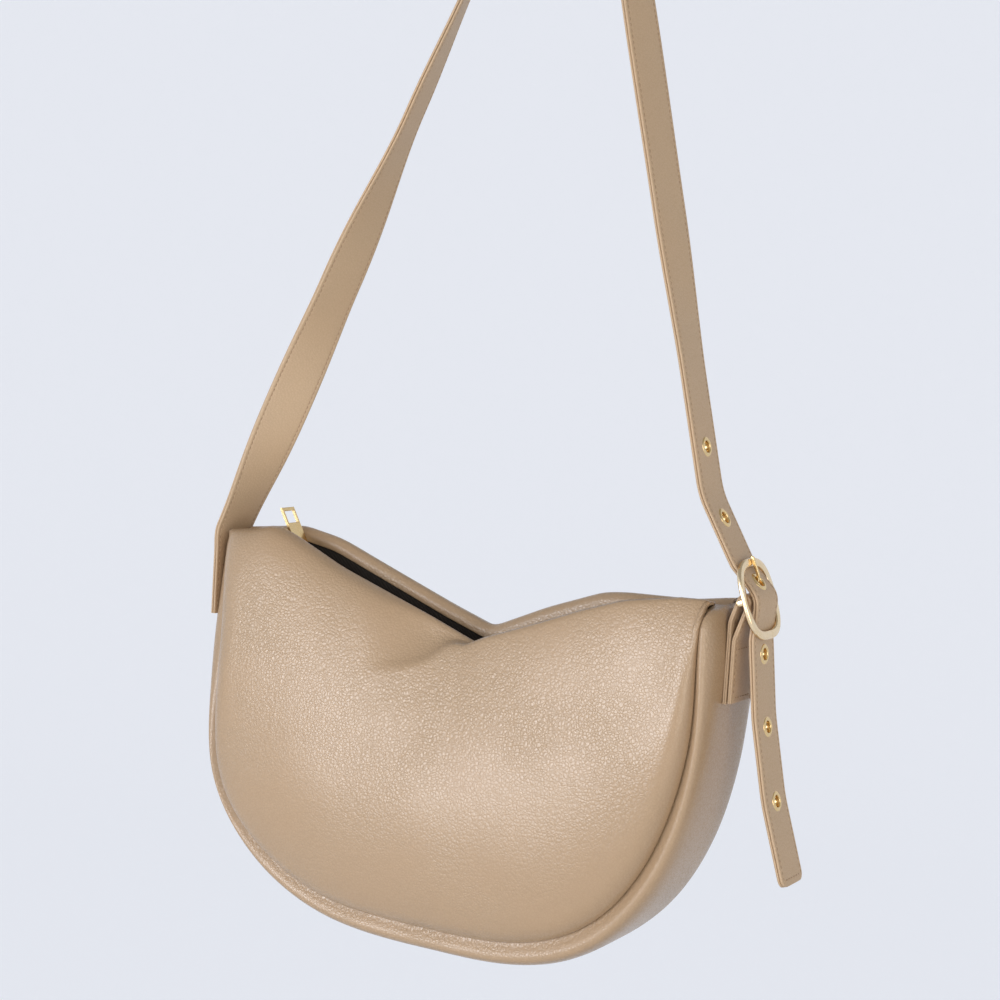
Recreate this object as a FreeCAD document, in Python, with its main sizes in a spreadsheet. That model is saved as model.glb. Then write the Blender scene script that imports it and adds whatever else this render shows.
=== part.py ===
import FreeCAD, Part
import bisect
import math
import os
import re
from functools import partial
from types import SimpleNamespace

import Sketcher
from FreeCAD import Placement, Rotation, Vector

# Half moon bag hanging by its strap, in millimetres.
# The origin is the inside of the strap at its top, where a hook or a shoulder carries it.
# +Z is up, +X points to the buckle end and -Y is the front.
# Sizes below are kept from the middle between the two upper ends of the bag.
bag_sizes = {
    "half_width": 165,
    "seam_drop": 206,
    "gusset_half": 33,
    "gusset_bulge": 16,
    "nose_bulge": 3,
    "nose_drop": 28,
    "panel_thick": 1.8,
    "lining_thick": 0.8,
    "layer_gap": 0.3,
    "front_crown": 14,
    "back_crown": 8,
    "binding_thick": 0.8,
    "binding_half": 2.7,
    "dent_depth": 8,
    "dent_left": 25,
    "dent_drop": 52,
    "dent_span": 45,
    "dent_rise": 22,
}

lip_sizes = {
    "lip_end_inset": 29,
    "lip_half_gap": 7.5,
    "lip_roll": 3.5,
    "lip_vertex": 13,
    "lip_end_rise": 6,
    "front_sag": 41,
    "back_sag": 33,
    "vee_round": 28,
}

zip_sizes = {
    "zip_end_inset": 12,
    "zip_end_drop": 5,
    "zip_mid_drop": 46.5,
    "tape_thick": 0.6,
    "tape_overlap": 1.5,
    "tooth_pitch": 4,
    "tooth_width": 2.2,
    "tooth_half_height": 0.65,
    "tooth_tip": 0.6,
    "tooth_back": 2.9,
    "cord_front": 1.7,
    "cord_half_height": 0.8,
    "stop_length": 2.4,
    "stop_clearance": 0.3,
    "slider_length": 11,
    "slider_half_width": 4.6,
    "slider_tail_half_width": 3.9,
    "slider_plate": 1.2,
    "slider_clearance": 0.3,
    "bail_half_length": 4,
    "bail_width": 2,
    "bail_window_half": 2.6,
    "bail_window_height": 4,
    "bail_bar": 1.3,
    "bail_chamfer": 1,
    "pull_length": 29.5,
    "pull_half_width": 6.2,
    "pull_rail": 1.3,
    "pull_end_bar": 2.2,
    "pull_slot": 4.6,
    "pull_plate": 14,
    "pull_thick": 1.5,
    "pull_edge": 0.4,
    "end_tab_setback": 5,
    "end_tab_length": 33,
    "end_tab_drop": 1,
    "end_tab_thick": 1.5,
}

strap_sizes = {
    "hang_drop": 441.6,
    "hang_offset": 41.4,
    "hang_radius": 18.65,
    "strap_width": 28,
    "strap_layer": 1.2,
    "foot_low": 48,
    "foot_high": 1,
    "foot_radius": 40,
    "bend_in": 32.5,
    "bend_up": 58,
    "bend_radius": 50,
    "rim_radius": 8,
    "peak_radius": 5,
    "tail_radius": 120,
    "tail_upper": 43,
    "tail_middle": 45,
    "tail_lower": 46,
    "tail_tip": 5,
    "tail_gap": 0.8,
    "tail_start": 1.6,
    "eyelet_pitch": 40,
    "eyelet_bore": 3.25,
    "eyelet_barrel": 3.75,
    "eyelet_flange": 5.75,
    "eyelet_back_flange": 5,
    "eyelet_rim": 0.6,
    "eyelet_seat": 0.25,
    "prong_hole_offset": 9,
}

buckle_sizes = {
    "buckle_stand": 12,
    "buckle_up": 4.5,
    "buckle_height": 44,
    "buckle_side_room": 2.6,
    "buckle_face": 4,
    "buckle_thick": 2.8,
    "buckle_corner": 12.5,
    "buckle_edge": 0.9,
    "strap_clearance": 1.2,
    "bar_radius": 1.5,
    "bar_inset": 3.5,
    "bar_fit": 0.05,
    "lug_height": 4.6,
    "lug_depth": 5.5,
    "lug_width": 2.4,
    "prong_radius": 0.85,
    "prong_eye": 2.9,
    "prong_eye_half_width": 2,
    "prong_clear": 1.15,
    "prong_tip_past": 1.2,
    "prong_edge": 0.35,
    "tab_inset": 0.5,
    "tab_thick": 1.4,
    "tab_low": 53,
    "tab_radius": 12,
    "tab_wrap_gap": 0.15,
    "tab_slot_clearance": 0.6,
}

# Angles in degrees, and powers that shape the curves.
angle_sizes = {
    "buckle_tilt": 20,
    "weave_lean": 24,
    "tail_upper_lean": 6.5,
    "tail_middle_lean": 11.6,
    "tail_lower_lean": 17.6,
    "tab_lean": 19,
    "pull_lean": 30,
    "panel_end_turn": 88,
    "rim_side_power": 3.3,
    "rim_bottom_power": 2.35,
    "gusset_corner_power": 4.5,
    "bulge_rise_power": 0.59,
    "panel_round_power": 2.6,
    "crown_power": 0.6,
}

# Turn of the strap about its length, in degrees, at shares of each leg.
left_twist_shares = ((0, 12), (0.18, 45), (0.36, 22), (0.6, -14), (0.78, -25), (1, 0))
right_twist_shares = ((0, 0), (0.35, -12), (0.6, -10), (0.86, 0), (1, 0))

doc = FreeCAD.newDocument("half_moon_bag")
sheet = doc.addObject("Spreadsheet::Sheet", "sizes")
nodes = []


def fill_sheet(*groups):
    row = 0
    for group in groups:
        for name, value in group.items():
            row += 1
            sheet.set("A%d" % row, name)
            sheet.set("B%d" % row, str(value))
            sheet.setAlias("B%d" % row, name)
    doc.recompute()
    return row


last_row = fill_sheet(bag_sizes, lip_sizes, zip_sizes, strap_sizes, buckle_sizes, angle_sizes)
names = [sheet.getAlias("B%d" % (row + 1)) for row in range(last_row)]
size = SimpleNamespace(**{name: float(sheet.get(name)) for name in names})


def add_derived(values):
    # Worked-out sizes get cells too, so that sketches can be bound to them.
    row = len(names)
    for name, value in values.items():
        row += 1
        sheet.set("A%d" % row, name)
        sheet.set("B%d" % row, "%.9f" % value)
        sheet.setAlias("B%d" % row, name)
        names.append(name)
        setattr(size, name, value)
    doc.recompute()


add_derived({
    "nose_half": size.lip_half_gap + size.lip_roll - size.layer_gap,
    "lip_half_length": size.half_width - size.lip_end_inset,
    "zip_half_length": size.half_width - size.lip_end_inset - size.zip_end_inset,
    "end_tab_half_width": size.lip_half_gap - size.layer_gap,
    "buckle_width": size.strap_width + 2 * (size.buckle_side_room + size.buckle_face),
    "tab_width": size.strap_width - 2 * size.tab_inset,
})
add_derived({
    "end_tab_start": size.zip_half_length + size.end_tab_setback,
    "end_tab_end": size.zip_half_length + size.end_tab_setback + size.end_tab_length,
})


def bound(text):
    def cell(word):
        return "sizes." + word.group() if word.group() in names else word.group()
    return re.sub(r"[a-z_]+", cell, text)


# Shape of the bag

rim_steps = 6000


def rim_point(turn):
    across = abs(math.cos(turn)) ** (2 / size.rim_side_power)
    down = max(0, math.sin(turn)) ** (2 / size.rim_bottom_power)
    return math.copysign(size.half_width * across, math.cos(turn)), -size.seam_drop * down


rim_lengths = [0.0]
for step in range(rim_steps):
    before = rim_point(math.pi * step / rim_steps)
    after = rim_point(math.pi * (step + 1) / rim_steps)
    rim_lengths.append(rim_lengths[-1] + math.dist(before, after))


def rim_at(share):
    # Point of the half-moon outline at a share of its length, from the right end to the left end.
    wanted = min(max(share, 0), 1) * rim_lengths[-1]
    step = min(max(bisect.bisect_right(rim_lengths, wanted) - 1, 0), rim_steps - 1)
    part = (wanted - rim_lengths[step]) / (rim_lengths[step + 1] - rim_lengths[step])
    return rim_point(math.pi * (step + part) / rim_steps)


def rim_share(across):
    # Share of the outline's length at a share of the half width, the reverse of rim_at.
    turn = math.acos(math.copysign(abs(across) ** (size.rim_side_power / 2), across))
    place = turn / math.pi * rim_steps
    step = min(int(place), rim_steps - 1)
    walked = rim_lengths[step] + (rim_lengths[step + 1] - rim_lengths[step]) * (place - step)
    return walked / rim_lengths[-1]


def rim_outward(share, reach_share=0.004):
    x0, z0 = rim_at(share - reach_share)
    x1, z1 = rim_at(share + reach_share)
    run = math.hypot(x1 - x0, z1 - z0)
    return -(z1 - z0) / run, (x1 - x0) / run


def gusset_half_at(z):
    down = min(1, max(0, -z / size.nose_drop))
    return size.nose_half + (size.gusset_half - size.nose_half) * math.sqrt(1 - (1 - down) ** 2)


def gusset_point(share, turn):
    # turn runs from -1 at the front seam over 0 in the middle to 1 at the back seam.
    x, z = rim_at(share)
    out_x, out_z = rim_outward(share)
    power = 2 / size.gusset_corner_power
    angle = turn * math.pi / 2
    across = math.copysign(abs(math.sin(angle)) ** power, turn)
    depth = (-z / size.seam_drop) ** size.bulge_rise_power
    swell = size.nose_bulge + (size.gusset_bulge - size.nose_bulge) * depth
    swell *= max(0, math.cos(angle)) ** power
    return Vector(x + out_x * swell, gusset_half_at(z) * across, z + out_z * swell)


def seam_height(across):
    # Edge of a panel, a little inside the outline that the gusset follows.
    down = (1 - abs(across) ** size.rim_side_power) ** (1 / size.rim_bottom_power)
    return size.layer_gap - size.seam_drop * down


def lip_height(side, x):
    # Crest of the lip, and past its ends the closed top that runs down to the bag's corner.
    if abs(x) > size.lip_half_length:
        return size.lip_end_rise * (size.half_width - abs(x)) / (size.half_width - size.lip_half_length)
    sag = size.front_sag if side < 0 else size.back_sag
    reach = size.lip_half_length - math.copysign(size.lip_vertex, x - size.lip_vertex)
    rise = math.hypot(x - size.lip_vertex, size.vee_round) - size.vee_round
    rise /= math.hypot(reach, size.vee_round) - size.vee_round
    return size.lip_end_rise - (size.lip_end_rise + sag) * (1 - rise)


def panel_point(side, across, way):
    # across runs from -1 at the left end to 1 at the right end.
    # way runs 0 to 1 from the seam to the crest of the lip, then to 2 round the lip's roll.
    x = (size.half_width - size.layer_gap) * across
    z_seam = seam_height(across)
    z_lip = lip_height(side, x)
    turn = way * math.pi / 2
    if way > 1:
        y = size.lip_half_gap + size.lip_roll * (1 + math.cos(turn))
        return Vector(x, side * y, z_lip - size.lip_roll * (1 - math.sin(turn)))
    rise = math.sin(turn) ** (2 / size.panel_round_power)
    keep = max(0, math.cos(turn)) ** (2 / size.panel_round_power)
    z = z_seam + (z_lip - z_seam) * rise
    crest = size.lip_half_gap + size.lip_roll
    y = crest + (gusset_half_at(z_seam) + size.layer_gap - crest) * keep
    crown = size.front_crown if side < 0 else size.back_crown
    spread = math.sqrt(1 - across * across)
    y += crown * spread * math.sin(math.pi * min(1, rise) ** size.crown_power)
    if side < 0:
        aside = (x + size.dent_left) / size.dent_span
        up = (z + size.dent_drop) / size.dent_rise
        y -= size.dent_depth * math.exp(-aside * aside - up * up) * keep ** 0.5
    return Vector(x, side * y, z)


zip_drop = size.zip_mid_drop - size.zip_end_drop
zip_radius = (size.zip_half_length ** 2 + zip_drop ** 2) / (2 * zip_drop)


def zip_height(x):
    return zip_radius - math.sqrt(zip_radius ** 2 - x * x) - size.zip_mid_drop


def tape_point(side, share, way):
    # A flat strip from beside the teeth to the foot of the mouth's facing.
    x = (size.zip_half_length + size.tape_overlap) * (1 - 2 * share)
    near = size.tooth_back + size.layer_gap
    far = size.lip_half_gap + (size.panel_thick - size.tape_thick) / 2 - size.layer_gap
    return Vector(x, side * (near + (far - near) * way), zip_height(x))


def facing_point(side, share, way):
    # An upright strip from beside the tape to the lip's rolled edge.
    x = (size.zip_half_length + size.tape_overlap) * (1 - 2 * share)
    low = zip_height(x) - size.tape_thick / 2
    top = lip_height(side, x) - size.lip_roll - size.layer_gap
    return Vector(x, side * (size.lip_half_gap + size.panel_thick / 2), low + (top - low) * way)


def binding_point(side, share, way):
    # A flat strip that covers the seam between a panel and the gusset on the inside.
    x, z = rim_at(share)
    out_x, out_z = rim_outward(share)
    out = size.binding_half * (2 * way - 1)
    y = gusset_half_at(z) - size.panel_thick - 2 * size.layer_gap
    return Vector(x + out_x * out, side * y, z + out_z * out)


# Directions through the thickness, from the outside face of each wall to its inside

def gusset_inward(share, turn):
    out_x, out_z = rim_outward(share)
    angle = turn * math.pi / 2
    return Vector(-out_x * math.cos(angle), -math.sin(angle), -out_z * math.cos(angle))


def panel_inward(side, across, way):
    # The wall faces sideways at the seam, up at the crest and back to the mouth at the end of the roll.
    lean = way * math.pi / 2
    if way < 1:
        x = (size.half_width - size.layer_gap) * across
        z_seam = seam_height(across)
        rise = lip_height(side, x) - z_seam
        depth = max(size.lip_roll, gusset_half_at(z_seam) - size.lip_half_gap - size.lip_roll)
        lean = math.atan(math.tan(lean) ** (2 - 2 / size.panel_round_power) * depth / rise)
    return Vector(0, -side * math.cos(lean), -math.sin(lean))


def tape_inward(side, share, way):
    return Vector(0, 0, -1)


def strip_inward(side, share, way):
    return Vector(0, -side, 0)


# Thin curved solids from a point formula

def even(count, start_share=0.0, end_share=1.0):
    return [start_share + (end_share - start_share) * step / count for step in range(count + 1)]


def gathered(count, start_share=0.0, end_share=1.0):
    # Steps that gather towards both ends.
    eased = [(1 - math.cos(math.pi * step)) / 2 for step in even(count)]
    return [start_share + (end_share - start_share) * share for share in eased]


def flat_face(*corners):
    return Part.Face(Part.makePolygon(list(corners) + [corners[0]]))


def skinned(sections, closed=False):
    # Solid with flat faces through sections of equally many corners, open ended or round in a ring.
    # Both long sides of a thin wall are split along the same diagonals, so that layers stay parallel.
    faces = []
    half = len(sections[0]) // 2
    if not closed:
        faces += [flat_face(*sections[0]), flat_face(*sections[-1])]
    for first, second in zip(sections, sections[1:] + sections[:closed]):
        for corner in range(len(first)):
            a, b = first[corner - 1], first[corner]
            c, d = second[corner], second[corner - 1]
            if closed:
                faces.append(flat_face(a, b, c, d))
            elif corner > half:
                faces += [flat_face(a, b, d), flat_face(b, c, d)]
            else:
                faces += [flat_face(a, b, c), flat_face(a, c, d)]
    shell = Part.makeShell(faces)
    shell.sewShape()
    solid = Part.makeSolid(Part.Shell(shell.Faces))
    if solid.Volume < 0:
        solid.reverse()
    return solid


def thick_sheet(point, inward, u_steps, v_steps, near, far):
    # Sections along v, from the near face to the far one, joined along u.
    sections = []
    for u in u_steps:
        near_side = [point(u, v) + inward(u, v) * near for v in v_steps]
        far_side = [point(u, v) + inward(u, v) * far for v in reversed(v_steps)]
        sections.append(near_side + far_side)
    return skinned(sections)


def add_node(name, thing):
    thing.Label = name
    nodes.append((name, thing))
    return thing


def hang_in_place(thing):
    thing.setExpression("Placement.Base.x", bound("-hang_offset"))
    thing.setExpression("Placement.Base.z", bound("-hang_drop"))


def add_shape(name, shape):
    feature = doc.addObject("Part::Feature", name)
    feature.Shape = shape
    hang_in_place(feature)
    return add_node(name, feature)


sides = (("front", -1), ("back", 1))
panel_ways = gathered(7) + [1 + step for step in even(3)[1:]]
panel_rows = [math.sin(math.radians(size.panel_end_turn) * step) for step in even(18, -1, 1)]
gusset_rows = [0] + [rim_share(across) for across in reversed(panel_rows)] + [1]
gusset_turns = even(8, -1, 1)
lining_near = size.panel_thick + size.layer_gap
lining_far = lining_near + size.lining_thick


def make_panels():
    for name, side in sides:
        point = partial(panel_point, side)
        inward = partial(panel_inward, side)
        add_shape(name + "_panel", thick_sheet(point, inward, panel_rows, panel_ways, 0, size.panel_thick))
        rows = panel_rows[2:-2]
        ways = panel_ways[1:7]
        add_shape(name + "_lining", thick_sheet(point, inward, rows, ways, lining_near, lining_far))


def make_gusset():
    strip = thick_sheet(gusset_point, gusset_inward, gusset_rows, gusset_turns, 0, size.panel_thick)
    add_shape("gusset", strip)
    rows = gusset_rows[3:-3]
    lining = thick_sheet(gusset_point, gusset_inward, rows, gusset_turns[1:-1], lining_near, lining_far)
    add_shape("gusset_lining", lining)


def make_bindings():
    for name, side in sides:
        point = partial(binding_point, side)
        inward = partial(strip_inward, side)
        strip = thick_sheet(point, inward, gusset_rows[3:-3], even(1), 0, size.binding_thick)
        add_shape(name + "_seam_binding", strip)


def make_tapes():
    half = size.tape_thick / 2
    for name, side in sides:
        strips = (("tape", tape_point, tape_inward), ("facing", facing_point, strip_inward))
        for kind, point, inward in strips:
            strip = thick_sheet(partial(point, side), partial(inward, side), even(24), even(1), -half, half)
            add_shape("zip_%s_%s" % (kind, name), strip)


# Sketch helpers

def sketch_on(body, role, name):
    plane = next(part for part in body.Origin.OriginFeatures if part.Role == role)
    sketch = body.newObject("Sketcher::SketchObject", name)
    sketch.AttachmentSupport = [(plane, "")]
    sketch.MapMode = "FlatFace"
    return sketch


def bind_point(sketch, geometry, position, spot):
    for kind, text in zip(("DistanceX", "DistanceY"), spot):
        index = sketch.addConstraint(Sketcher.Constraint(kind, -1, 1, geometry, position, 1.0))
        sketch.setExpression("Constraints[%d]" % index, bound(text))


def draw_polygon(sketch, corners):
    count = len(corners)
    first = sketch.GeometryCount
    turns = [2 * math.pi * i / count for i in range(count)]
    ring = [Vector(math.cos(turn), math.sin(turn), 0) for turn in turns]
    for start, end in zip(ring, ring[1:] + ring[:1]):
        sketch.addGeometry(Part.LineSegment(start, end), False)
    for i in range(count):
        following = first + (i + 1) % count
        sketch.addConstraint(Sketcher.Constraint("Coincident", first + i, 2, following, 1))
    for i, corner in enumerate(corners):
        bind_point(sketch, first + i, 1, corner)


def draw_circle(sketch, centre, radius):
    geometry = sketch.addGeometry(Part.Circle(Vector(0, 0, 0), Vector(0, 0, 1), 1), False)
    bind_point(sketch, geometry, 3, centre)
    index = sketch.addConstraint(Sketcher.Constraint("Radius", geometry, 1.0))
    sketch.setExpression("Constraints[%d]" % index, bound(radius))


def start_body(name, spot, tilt="0"):
    body = doc.addObject("PartDesign::Body", name)
    body.Placement = Placement(Vector(), Rotation(Vector(0, 1, 0), 1))
    for axis, text in zip("xyz", spot):
        body.setExpression("Placement.Base." + axis, bound(text))
    body.setExpression("Placement.Rotation.Angle", bound(tilt))
    return add_node(name, body)


def add_pad(body, sketch, length, midplane=True, reverse=False):
    pad = body.newObject("PartDesign::Pad", sketch.Name + "_pad")
    pad.Profile = sketch
    pad.Midplane = midplane
    pad.Reversed = reverse
    pad.setExpression("Length", bound(length))
    doc.recompute()
    return pad


def add_pocket(body, sketch):
    # A cut through the whole body, both ways from the sketch.
    pocket = body.newObject("PartDesign::Pocket", sketch.Name + "_pocket")
    pocket.Profile = sketch
    pocket.Type = "ThroughAll"
    pocket.Midplane = True
    doc.recompute()
    return pocket


def round_edges(body, base, name, radius, wanted):
    edges = ["Edge%d" % (i + 1) for i, edge in enumerate(base.Shape.Edges) if wanted(edge)]
    fillet = body.newObject("PartDesign::Fillet", name)
    fillet.Base = (base, edges)
    fillet.setExpression("Radius", bound(radius))
    doc.recompute()
    return fillet


def bevel_edges(body, base, name, width, wanted):
    edges = ["Edge%d" % (i + 1) for i, edge in enumerate(base.Shape.Edges) if wanted(edge)]
    bevel = body.newObject("PartDesign::Chamfer", name)
    bevel.Base = (base, edges)
    bevel.setExpression("Size", bound(width))
    doc.recompute()
    return bevel


def runs_along(edge, direction):
    if not isinstance(edge.Curve, Part.Line):
        return False
    return abs(edge.Curve.Direction.dot(direction)) > 0.999


# Zip

zip_reach = math.degrees(math.asin(size.zip_half_length / zip_radius))
rest_back = size.stop_clearance + size.slider_length / 2
rest_turn = zip_reach - math.degrees(rest_back / zip_radius)
pitch_turn = math.degrees(size.tooth_pitch / zip_radius)
tooth_count = int((2 * zip_reach) / pitch_turn) - 1
add_derived({
    "zip_radius": zip_radius,
    "zip_sweep": 2 * zip_reach,
    "zip_reach": zip_reach,
    "zip_centre": zip_radius - size.zip_mid_drop,
    "rest_turn": rest_turn,
    "pitch_turn": pitch_turn,
    "pattern_turn": pitch_turn * (tooth_count - 1),
    "rest_out": zip_radius * math.sin(math.radians(rest_turn)),
    "rest_down": zip_radius * math.cos(math.radians(rest_turn)),
    "plate_low": size.cord_half_height + size.slider_clearance,
    "plate_high": size.cord_half_height + size.slider_clearance + size.slider_plate,
    "slot_half": size.tape_thick / 2 + size.slider_clearance,
})
add_derived({
    "bail_low": size.plate_high - size.slider_plate / 2,
    "bail_window_top": size.plate_high + size.bail_window_height,
    "bail_top": size.plate_high + size.bail_window_height + size.bail_bar,
    "pull_corner": size.pull_edge + math.sqrt(2) * (size.pull_thick / 2 - size.pull_edge),
})
add_derived({"pull_axis": size.bail_window_top - size.pull_corner - size.slider_clearance})


def make_teeth():
    for name, side, late in (("front", -1, 0.5), ("back", 1, 1)):
        spot = ("-hang_offset", "0", "zip_centre - hang_drop")
        body = start_body("zip_teeth_" + name, spot, "zip_reach")
        sign = "-" if side < 0 else ""
        section = sketch_on(body, "YZ_Plane", "cord_" + name)
        draw_polygon(section, (
            (sign + "cord_front", "-zip_radius - cord_half_height"),
            (sign + "tooth_back", "-zip_radius - cord_half_height"),
            (sign + "tooth_back", "-zip_radius + cord_half_height"),
            (sign + "cord_front", "-zip_radius + cord_half_height"),
        ))
        cord = body.newObject("PartDesign::Revolution", "cord_" + name + "_turn")
        cord.Profile = section
        cord.ReferenceAxis = (section, ["H_Axis"])
        cord.Reversed = True
        cord.setExpression("Angle", bound("zip_sweep"))
        tooth = sketch_on(body, "XY_Plane", "tooth_" + name)
        along = "zip_radius * sin(pitch_turn * %g)" % late
        root = "%s(cord_front + tooth_back) / 2" % sign
        draw_polygon(tooth, (
            (along + " - tooth_width / 2", root),
            (along + " + tooth_width / 2", root),
            (along + " + tooth_width / 4", sign + "tooth_tip"),
            (along + " - tooth_width / 4", sign + "tooth_tip"),
        ))
        tooth.setExpression("AttachmentOffset.Base.z", bound("-zip_radius"))
        doc.recompute()
        block = add_pad(body, tooth, "2 * tooth_half_height")
        row = body.newObject("PartDesign::PolarPattern", "tooth_row_" + name)
        row.Originals = [block]
        axis = next(part for part in body.Origin.OriginFeatures if part.Role == "Y_Axis")
        row.Axis = (axis, [""])
        row.Reversed = True
        row.setExpression("Angle", bound("pattern_turn"))
        row.Occurrences = tooth_count
        body.Tip = row
        doc.recompute()


def make_stops():
    for name, side in (("left", -1), ("right", 1)):
        sign = "-" if side < 0 else ""
        turn = "-(zip_reach)" if side > 0 else "zip_reach"
        spot = ("%szip_half_length - hang_offset" % sign, "0", "-zip_end_drop - hang_drop")
        body = start_body("zip_stop_" + name, spot, turn)
        outer = "%sstop_length" % sign
        near = "%sstop_clearance" % sign
        face = sketch_on(body, "XY_Plane", "stop_" + name)
        draw_polygon(face, (
            (near, "-tooth_back"),
            (near + " + " + outer, "-tooth_back"),
            (near + " + " + outer, "tooth_back"),
            (near, "tooth_back"),
        ))
        add_pad(body, face, "2 * cord_half_height")


def make_end_tabs():
    for name, side in (("left", -1), ("right", 1)):
        sign = "-" if side < 0 else ""
        spot = ("-hang_offset", "0", "-end_tab_drop - end_tab_thick / 2 - hang_drop")
        body = start_body("zip_end_tab_" + name, spot)
        face = sketch_on(body, "XY_Plane", "end_tab_" + name)
        draw_polygon(face, (
            (sign + "end_tab_start", "-end_tab_half_width"),
            (sign + "end_tab_end", "-end_tab_half_width"),
            (sign + "end_tab_end", "end_tab_half_width"),
            (sign + "end_tab_start", "end_tab_half_width"),
        ))
        add_pad(body, face, "end_tab_thick")


def make_slider():
    spot = ("-rest_out - hang_offset", "0", "zip_centre - rest_down - hang_drop")
    body = start_body("zip_slider", spot, "rest_turn")
    face = sketch_on(body, "XY_Plane", "slider_outline")
    draw_polygon(face, (
        ("-slider_length / 2", "-slider_half_width"),
        ("slider_length / 6", "-slider_half_width"),
        ("slider_length / 2", "-slider_tail_half_width"),
        ("slider_length / 2", "slider_tail_half_width"),
        ("slider_length / 6", "slider_half_width"),
        ("-slider_length / 2", "slider_half_width"),
    ))
    add_pad(body, face, "2 * plate_high")
    channel = sketch_on(body, "YZ_Plane", "slider_channel")
    inner = "tooth_tip - slider_clearance"
    wall = "tooth_back + slider_clearance"
    for sign in ("", "-"):
        draw_polygon(channel, (
            ("%s(%s)" % (sign, inner), "-plate_low"),
            ("%s(%s)" % (sign, wall), "-plate_low"),
            ("%s(%s)" % (sign, wall), "-slot_half"),
            ("%s2 * slider_half_width" % sign, "-slot_half"),
            ("%s2 * slider_half_width" % sign, "slot_half"),
            ("%s(%s)" % (sign, wall), "slot_half"),
            ("%s(%s)" % (sign, wall), "plate_low"),
            ("%s(%s)" % (sign, inner), "plate_low"),
        ))
    add_pocket(body, channel)
    arch = sketch_on(body, "XZ_Plane", "slider_bail")
    draw_polygon(arch, (
        ("-bail_half_length", "bail_low"),
        ("-bail_half_length", "bail_top - bail_chamfer"),
        ("-bail_half_length + bail_chamfer", "bail_top"),
        ("bail_half_length - bail_chamfer", "bail_top"),
        ("bail_half_length", "bail_top - bail_chamfer"),
        ("bail_half_length", "bail_low"),
        ("bail_window_half", "bail_low"),
        ("bail_window_half", "bail_window_top"),
        ("-bail_window_half", "bail_window_top"),
        ("-bail_window_half", "bail_low"),
    ))
    add_pad(body, arch, "bail_width")


def make_pull():
    spot = (
        "-rest_out + pull_axis * sin(rest_turn) - hang_offset",
        "0",
        "zip_centre - rest_down + pull_axis * cos(rest_turn) - hang_drop",
    )
    body = start_body("zip_pull", spot, "-pull_lean")
    face = sketch_on(body, "YZ_Plane", "pull_outline")
    draw_polygon(face, (
        ("-pull_half_width", "-pull_thick / 2"),
        ("pull_half_width", "-pull_thick / 2"),
        ("pull_half_width", "pull_length"),
        ("-pull_half_width", "pull_length"),
    ))
    slot_end = "pull_thick / 2 + pull_slot"
    for low, high in (("pull_thick / 2", slot_end), (slot_end + " + pull_plate", "pull_length - pull_end_bar")):
        draw_polygon(face, (
            ("-pull_half_width + pull_rail", low),
            ("pull_half_width - pull_rail", low),
            ("pull_half_width - pull_rail", high),
            ("-pull_half_width + pull_rail", high),
        ))
    pad = add_pad(body, face, "pull_thick")
    cross = Vector(0, 1, 0)
    rounded = round_edges(body, pad, "pull_rounding", "pull_edge", lambda edge: runs_along(edge, cross))
    body.Tip = rounded


# Strap path, as straight runs joined by tangent arcs in the XZ plane

strap_half = size.strap_layer + size.layer_gap / 2


def gusset_reach(low):
    # Furthest that the middle of the gusset stands out, from the bag's corner down to a height.
    spots = [gusset_point(share, 0) for share in gusset_rows]
    reach = spots[0].x
    for upper, lower in zip(spots, spots[1:]):
        part = min(1, (upper.z - low) / (upper.z - lower.z))
        reach = max(reach, upper.x + (lower.x - upper.x) * part)
        if part < 1:
            break
    return reach


gusset_out = gusset_reach(-size.tab_low)
add_derived({"buckle_out": gusset_out + size.buckle_stand})


def buckle_place(out, up):
    # A point of the buckle's own plane, out from its face and up along it, in the bag's plane.
    tilt = math.radians(size.buckle_tilt)
    x = size.buckle_out + out * math.cos(tilt) - up * math.sin(tilt)
    return x, size.buckle_up + out * math.sin(tilt) + up * math.cos(tilt)


def leaning(start, length, lean):
    turn = math.radians(lean)
    return start[0] + length * math.sin(turn), start[1] - length * math.cos(turn)


def tangent_direction(start, centre, radius, side):
    # Direction from a point to the tangent of a circle, on its left (side 1) or right (side -1).
    x, z = centre[0] - start[0], centre[1] - start[1]
    turn = math.atan2(z, x) + side * math.asin(radius / math.hypot(x, z))
    return math.cos(turn), math.sin(turn)


def crossing(start, direction, other, other_direction):
    cross = direction[0] * other_direction[1] - direction[1] * other_direction[0]
    x, z = other[0] - start[0], other[1] - start[1]
    run = (x * other_direction[1] - z * other_direction[0]) / cross
    return start[0] + direction[0] * run, start[1] + direction[1] * run


def bent_path(points, radii):
    # Pieces of a path: straight runs as two points, arcs as a centre, a radius and two angles.
    pieces = []
    start = points[0]
    for before, corner, after, radius in zip(points, points[1:], points[2:], radii):
        first = math.atan2(corner[1] - before[1], corner[0] - before[0])
        second = math.atan2(after[1] - corner[1], after[0] - corner[0])
        turn = math.remainder(second - first, 2 * math.pi)
        cut = radius * math.tan(abs(turn) / 2)
        begin = corner[0] - cut * math.cos(first), corner[1] - cut * math.sin(first)
        side = math.copysign(math.pi / 2, turn)
        centre = begin[0] + radius * math.cos(first + side), begin[1] + radius * math.sin(first + side)
        pieces.append(SimpleNamespace(kind="run", start=start, end=begin))
        pieces.append(SimpleNamespace(kind="arc", centre=centre, radius=radius, first=first - side, turn=turn))
        start = corner[0] + cut * math.cos(second), corner[1] + cut * math.sin(second)
    pieces.append(SimpleNamespace(kind="run", start=start, end=points[-1]))
    return pieces


def piece_length(piece):
    if piece.kind == "run":
        return math.dist(piece.start, piece.end)
    return piece.radius * abs(piece.turn)


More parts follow.
